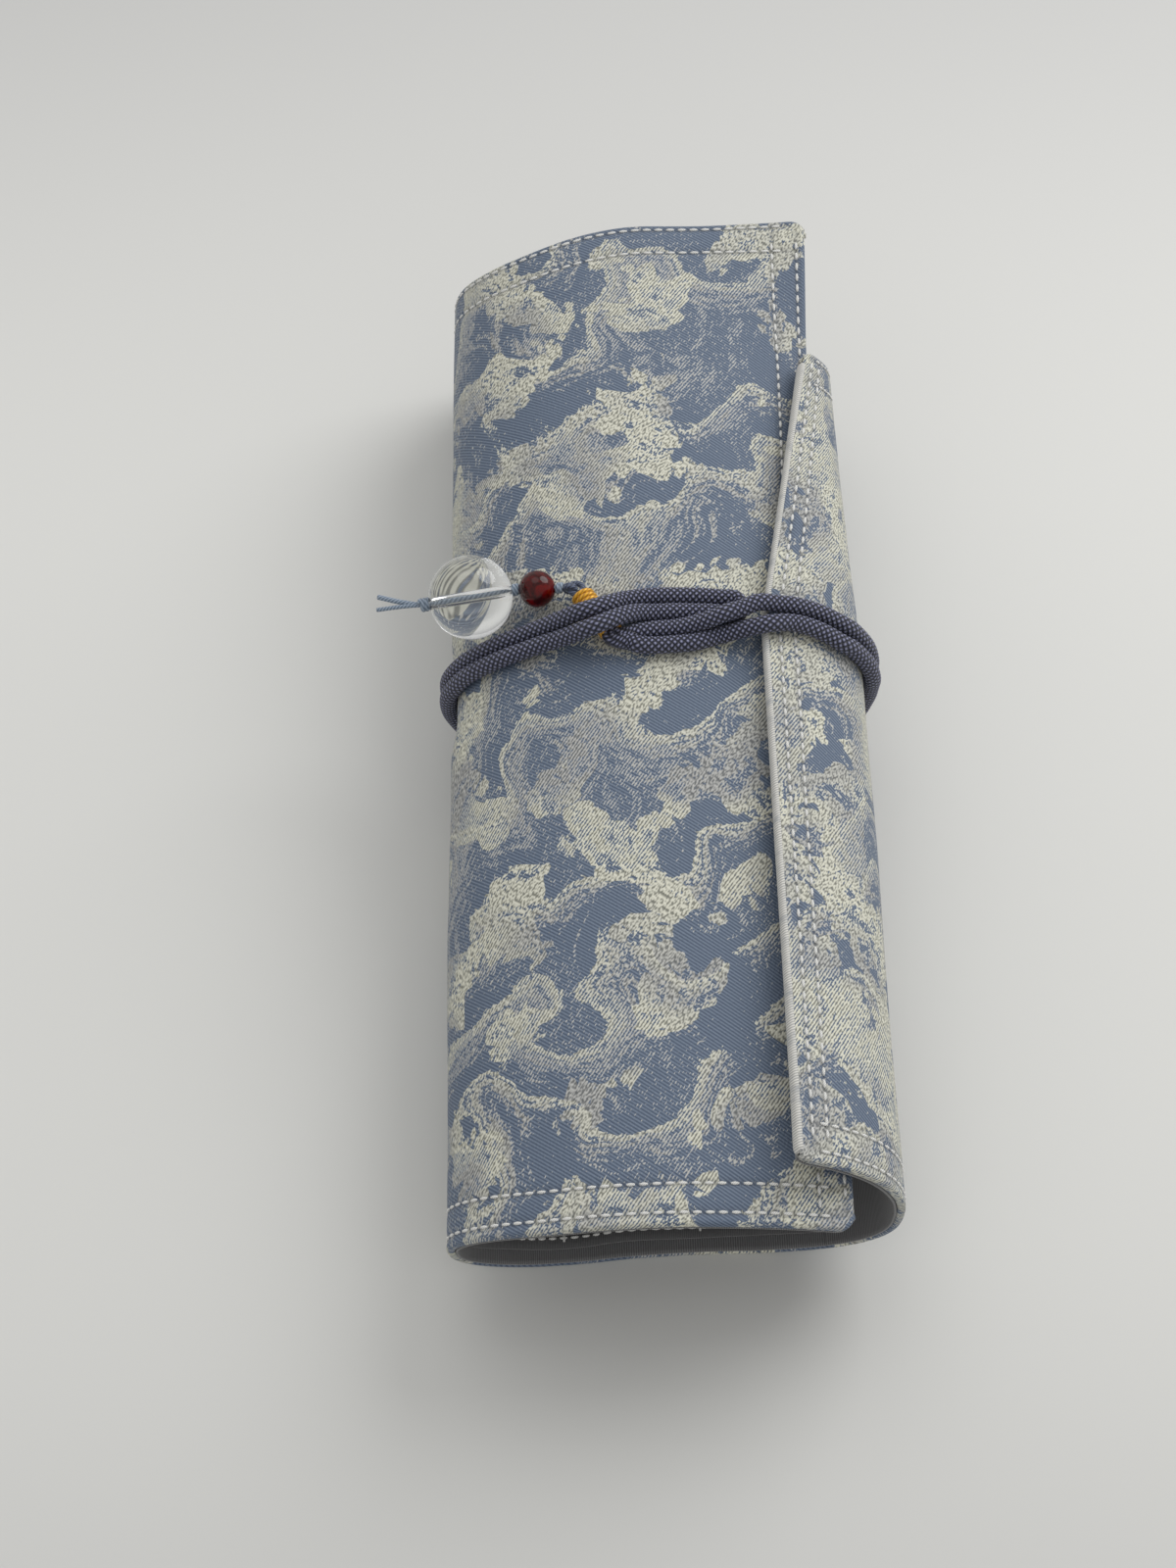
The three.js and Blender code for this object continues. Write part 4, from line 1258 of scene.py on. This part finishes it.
for piece, node, slot in (
    (outer_roll, "brocade_body", "brocade"),
    (lining_roll, "lining_body", "lining"),
    (felt_roll, "stiffener_body", "interlining"),
):
    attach(piece, "roll")
    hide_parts(node)
for piece, node, slot in (
    (outer_flap, "brocade_flap", "brocade"),
    (lining_flap, "lining_flap", "lining"),
    (felt_flap, "stiffener_flap", "interlining"),
):
    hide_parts(node)
    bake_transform(piece)

# Section of the strip: distance inside the flap's free edge, and depth
STRIP_SECTION = (
    (0.85, 0.05), (0.78, -0.16), (0.5, -0.24), (0.15, -0.14), (-0.1, 0.2), (-0.22, 0.7),
    (-0.22, 1.2), (-0.05, 1.75), (0.4, 2.2), (1.1, 2.32), (1.9, 2.25),
)
STRIP_MIDDLE = (0.35, 1.05)
STRIP_ROUNDING = (0.0, 0.08, 0.25, 0.5, 0.85, 1.3)
STRIP_PROUD = 0.15
STRIP_TOP = 0.3
STRIP_WALL = 0.2


def strip_width(y, near, far):
    """How wide the strip's upper side is: more towards its near end and its far end."""
    return 1 + 0.35 * math.exp(-((y - near) / 14) ** 2) + 0.3 * math.exp(-((y - far) / 9) ** 2)


def edge_strip():
    """Rolled strip along the flap's free edge, wrapped round all its layers. It is rounded
    off at both ends of the edge."""
    near = float(near_edge(FREE_EDGE)) - STRIP_PROUD
    far = float(far_edge(FREE_EDGE)) + STRIP_PROUD
    rows = [near + inset for inset in STRIP_ROUNDING] + spread(near + 2.2, far - 2.2, 0.9)
    rows += [far - inset for inset in reversed(STRIP_ROUNDING)]
    round_off = STRIP_ROUNDING[-1]
    edge_middle, depth_middle = STRIP_MIDDLE
    places, flat = [], []
    for y in rows:
        inset = min(y - near, far - y, round_off) / round_off
        full = math.sqrt(1 - (1 - inset) ** 2)
        widened = strip_width(y, near, far)
        ring = []
        for ds, depth in STRIP_SECTION:
            wide = widened if depth < STRIP_TOP and ds > 0 else 1
            ds = edge_middle + (ds - edge_middle) * full * wide
            depth = depth_middle + (depth - depth_middle) * full
            inside = float(far_edge(FREE_EDGE + max(ds, 0)))
            spot = wound(
                FREE_EDGE + max(ds, 0.001), min(y, inside + STRIP_PROUD),
                depth - ripple(FREE_EDGE + ds, y),
            )
            if ds < 0:
                at = FLAP.at(0.0, y)
                spot = spot + np.array([at[3] * ds, 0, -at[2] * ds])
            ring.append(spot)
        places.append(ring)
        flat.append([(FREE_EDGE + ds, y) for ds, depth in STRIP_SECTION])
    places = np.swapaxes(np.array(places), 0, 1)
    bm = mapped_grid(len(STRIP_SECTION), len(rows), places, np.swapaxes(np.array(flat), 0, 1))
    bmesh.ops.remove_doubles(bm, verts=bm.verts, dist=STRIP_MERGE)
    bmesh.ops.reverse_faces(bm, faces=bm.faces)
    strip = new_piece("flap_edge_strip", bm, edging_look)
    thicken(strip, STRIP_WALL)
    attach(strip, "flap")
    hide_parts("flap_edge_roll")


edge_strip()

POCKETS = 5
POCKET_START, POCKET_END = 0.113 * TOP_EDGE, 0.821 * TOP_EDGE
POCKET_DEPTH, POCKET_BULGE = 2.4, 2.2
FOOT_BULGE_SHARE, MOUTH_RUN = 0.35, 75
POCKET_HEM, POCKET_HEIGHT = 2.5, 150
POCKET_ROWS, POCKET_SLACK, POCKET_THICKNESS = 110, 0.12, 0.45


def pocket_depth(s, y):
    """Depth of the pocket cloth, which stands off more towards the mouth of each channel."""
    along = (s - POCKET_START) / (POCKET_END - POCKET_START) * POCKETS
    mouth = smooth((y - NEAR_PLACE) / MOUTH_RUN)
    fullness = FOOT_BULGE_SHARE + (1 - FOOT_BULGE_SHARE) * mouth
    return POCKET_DEPTH + POCKET_BULGE * fullness * np.sin(math.pi * (along % 1)) ** 2


def pocket_cloth():
    columns = spread(POCKET_START, POCKET_END, 0.9)
    places, flat = [], []
    for s in columns:
        near = float(near_edge(s)) + POCKET_HEM
        y = near + POCKET_HEIGHT * np.linspace(0, 1, POCKET_ROWS)
        waves = np.array([ripple(s, v) for v in y])
        depth = pocket_depth(s, y) - waves
        depth += POCKET_SLACK * np.sin(y / 9 + s / 7) * np.sin(math.pi * (s / 31)) ** 2
        places.append(wound(s, y, depth))
        flat.append(np.stack([np.full(POCKET_ROWS, s), y], -1))
    bm = mapped_grid(len(columns), POCKET_ROWS, np.array(places), np.array(flat))
    piece = new_piece("pocket_cloth", bm, pocket_look)
    thicken(piece, POCKET_THICKNESS)
    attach(piece, "roll")
    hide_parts("pocket_panel")
    return piece


pocket_piece = pocket_cloth()

# Stitches

STITCH_WIDTH, STITCH_RISE = 0.33, 0.28
STITCH_DEPTH, PRESSED_STITCH = 0.12, 0.2
STITCH_END = 0.22
# Where the rows stop short of the cloth's edges
ROLL_ROWS_END, FLAP_ROWS_START = 3.4, 2.6
TOP_ROW_ENDS, FLAP_ROW_ENDS = (3.0, 3.4), (2.2, 1.6)
CHANNEL_DEPTH, CHANNEL_INSET, CHANNEL_STITCH = 2.92, 0.8, 0.8
CHANNEL_START, CHANNEL_LENGTH = 3.5, 147
FOOT_ROW, FOOT_ROW_DEPTH = 4.4, 0.5


def stitches(name, spans):
    """One short raised thread for each stitch, between the two ends that a span gives."""
    bead = bmesh.new()
    bmesh.ops.create_uvsphere(bead, u_segments=6, v_segments=5, radius=MM)
    shape = bpy.data.meshes.new("one_stitch")
    bead.to_mesh(shape)
    bead.free()
    bm = bmesh.new()
    for start, end in spans:
        forward = Vector(end - start)
        turn = Vector((1, 0, 0)).rotation_difference(forward.normalized()).to_matrix()
        size = Matrix.Diagonal((forward.length / 2, STITCH_WIDTH, STITCH_RISE)).to_4x4()
        place = Matrix.Translation(Vector((start + end) / 2) * MM) @ turn.to_4x4() @ size
        shape.transform(place)
        bm.from_mesh(shape)
        shape.transform(place.inverted())
    bpy.data.meshes.remove(shape)
    return new_piece(name, bm, stitch_look)


def stitch_at(s, y, depth=STITCH_DEPTH):
    return wound(s, y, depth + PRESSED_STITCH * pressed(s) - ripple(s, y)).reshape(3)


def stitch_ends(start, end):
    """The two ends of each stitch that fits between two places, at whole pitches."""
    first, last = math.ceil(start / PITCH), math.floor(end / PITCH)
    return [(k * PITCH + STITCH_END, (k + 1) * PITCH - STITCH_END) for k in range(first, last)]


def along_edge(start, end, edge, inset):
    """Stitches beside an edge of the wrap."""
    return [
        tuple(stitch_at(s, float(edge(s)) + inset) for s in ends)
        for ends in stitch_ends(start, end)
    ]


def down_side(s, start_inset, end_inset):
    """Stitches along the roll at one place of the wrap."""
    near, far = float(near_edge(s)) + start_inset, float(far_edge(s)) - end_inset
    return [tuple(stitch_at(s, y) for y in ends) for ends in stitch_ends(near, far)]


def pocket_seams():
    """Stitches down the side of each channel, and across the foot of the pockets."""
    spans = []
    for k in range(POCKETS + 1):
        s = POCKET_START + (POCKET_END - POCKET_START) * k / POCKETS
        s = min(max(s, POCKET_START + CHANNEL_INSET), POCKET_END - CHANNEL_INSET)
        near = float(near_edge(s)) + CHANNEL_START
        for row in range(int(CHANNEL_LENGTH / PITCH)):
            y = near + row * PITCH
            ends = (y, y + PITCH * CHANNEL_STITCH)
            spans.append(tuple(stitch_at(s, end, CHANNEL_DEPTH) for end in ends))
    for ends in stitch_ends(POCKET_START, POCKET_END):
        foot = []
        for s in ends:
            y = float(near_edge(s)) + FOOT_ROW
            foot.append(stitch_at(s, y, float(pocket_depth(s, y)) + FOOT_ROW_DEPTH))
        spans.append(tuple(foot))
    return spans


def sew():
    roll_spans, flap_spans = [], []
    for side, edge, sign in (("near", near_edge, 1), ("far", far_edge, -1)):
        for inset in HEM_ROWS[side]:
            roll_spans += along_edge(SEAM, TOP_EDGE - ROLL_ROWS_END, edge, sign * inset)
            flap_spans += along_edge(FREE_EDGE + FLAP_ROWS_START, SEAM, edge, sign * inset)
    for inset in HEM_ROWS["top"]:
        roll_spans += down_side(TOP_EDGE - inset, *TOP_ROW_ENDS)
    for inset in HEM_ROWS["flap"]:
        flap_spans += down_side(FREE_EDGE + inset, *FLAP_ROW_ENDS)
    roll = stitches("hem_stitches_roll", roll_spans)
    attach(roll, "roll")
    flap = stitches("hem_stitches_flap", flap_spans)
    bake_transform(flap)
    inner = stitches("pocket_stitches", pocket_seams())
    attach(inner, "roll")


sew()

# Table and light


def table():
    bm = bmesh.new()
    bmesh.ops.create_grid(bm, x_segments=1, y_segments=1, size=1.6)
    finish = Finish("pale_table", Roughness=0.75)
    place = finish.body_place(1.0)
    cloudy = finish.clouds(place, 3.0, 2.0)
    paper_and_painted_falloff = finish.blend(cloudy, tone(207, 207, 204), tone(211, 211, 208))
    away = finish.parts(place)[1]
    # Painted shade: the table darkens towards its near side and towards its far side, standing in
    # for the light falling off there
    paper_and_painted_falloff = finish.blend(finish.step(away, -0.06, -0.3), paper_and_painted_falloff, tone(184, 184, 182))
    finish.colour(finish.blend(finish.step(away, 0.05, 0.35), paper_and_painted_falloff, tone(178, 178, 177)))
    floor = new_piece("table_top", bm, finish.material)


def lamp(name, place, size, power):
    data = bpy.data.lights.new(name, "AREA")
    data.shape = "DISK"
    data.size = size
    data.energy = power
    light = bpy.data.objects.new(name, data)
    light.location = place
    aim = Vector((0, 0, 0.02)) - Vector(place)
    light.rotation_euler = aim.to_track_quat("-Z", "Y").to_euler()
    bpy.context.scene.collection.objects.link(light)


def light_table():
    lamp("window", (0.64, 0.6, 0.74), size=0.9, power=7.2)
    lamp("fill", (-0.2, 0.42, 1.0), size=0.8, power=1.5)
    world = bpy.data.worlds.new("studio")
    world.use_nodes = True
    glow = world.node_tree.nodes["Background"].inputs
    glow["Color"].default_value = (1.0, 0.997, 0.988, 1)
    glow["Strength"].default_value = 0.66
    bpy.context.scene.world = world
    bpy.context.scene.view_settings.view_transform = "Standard"


table()
light_table()
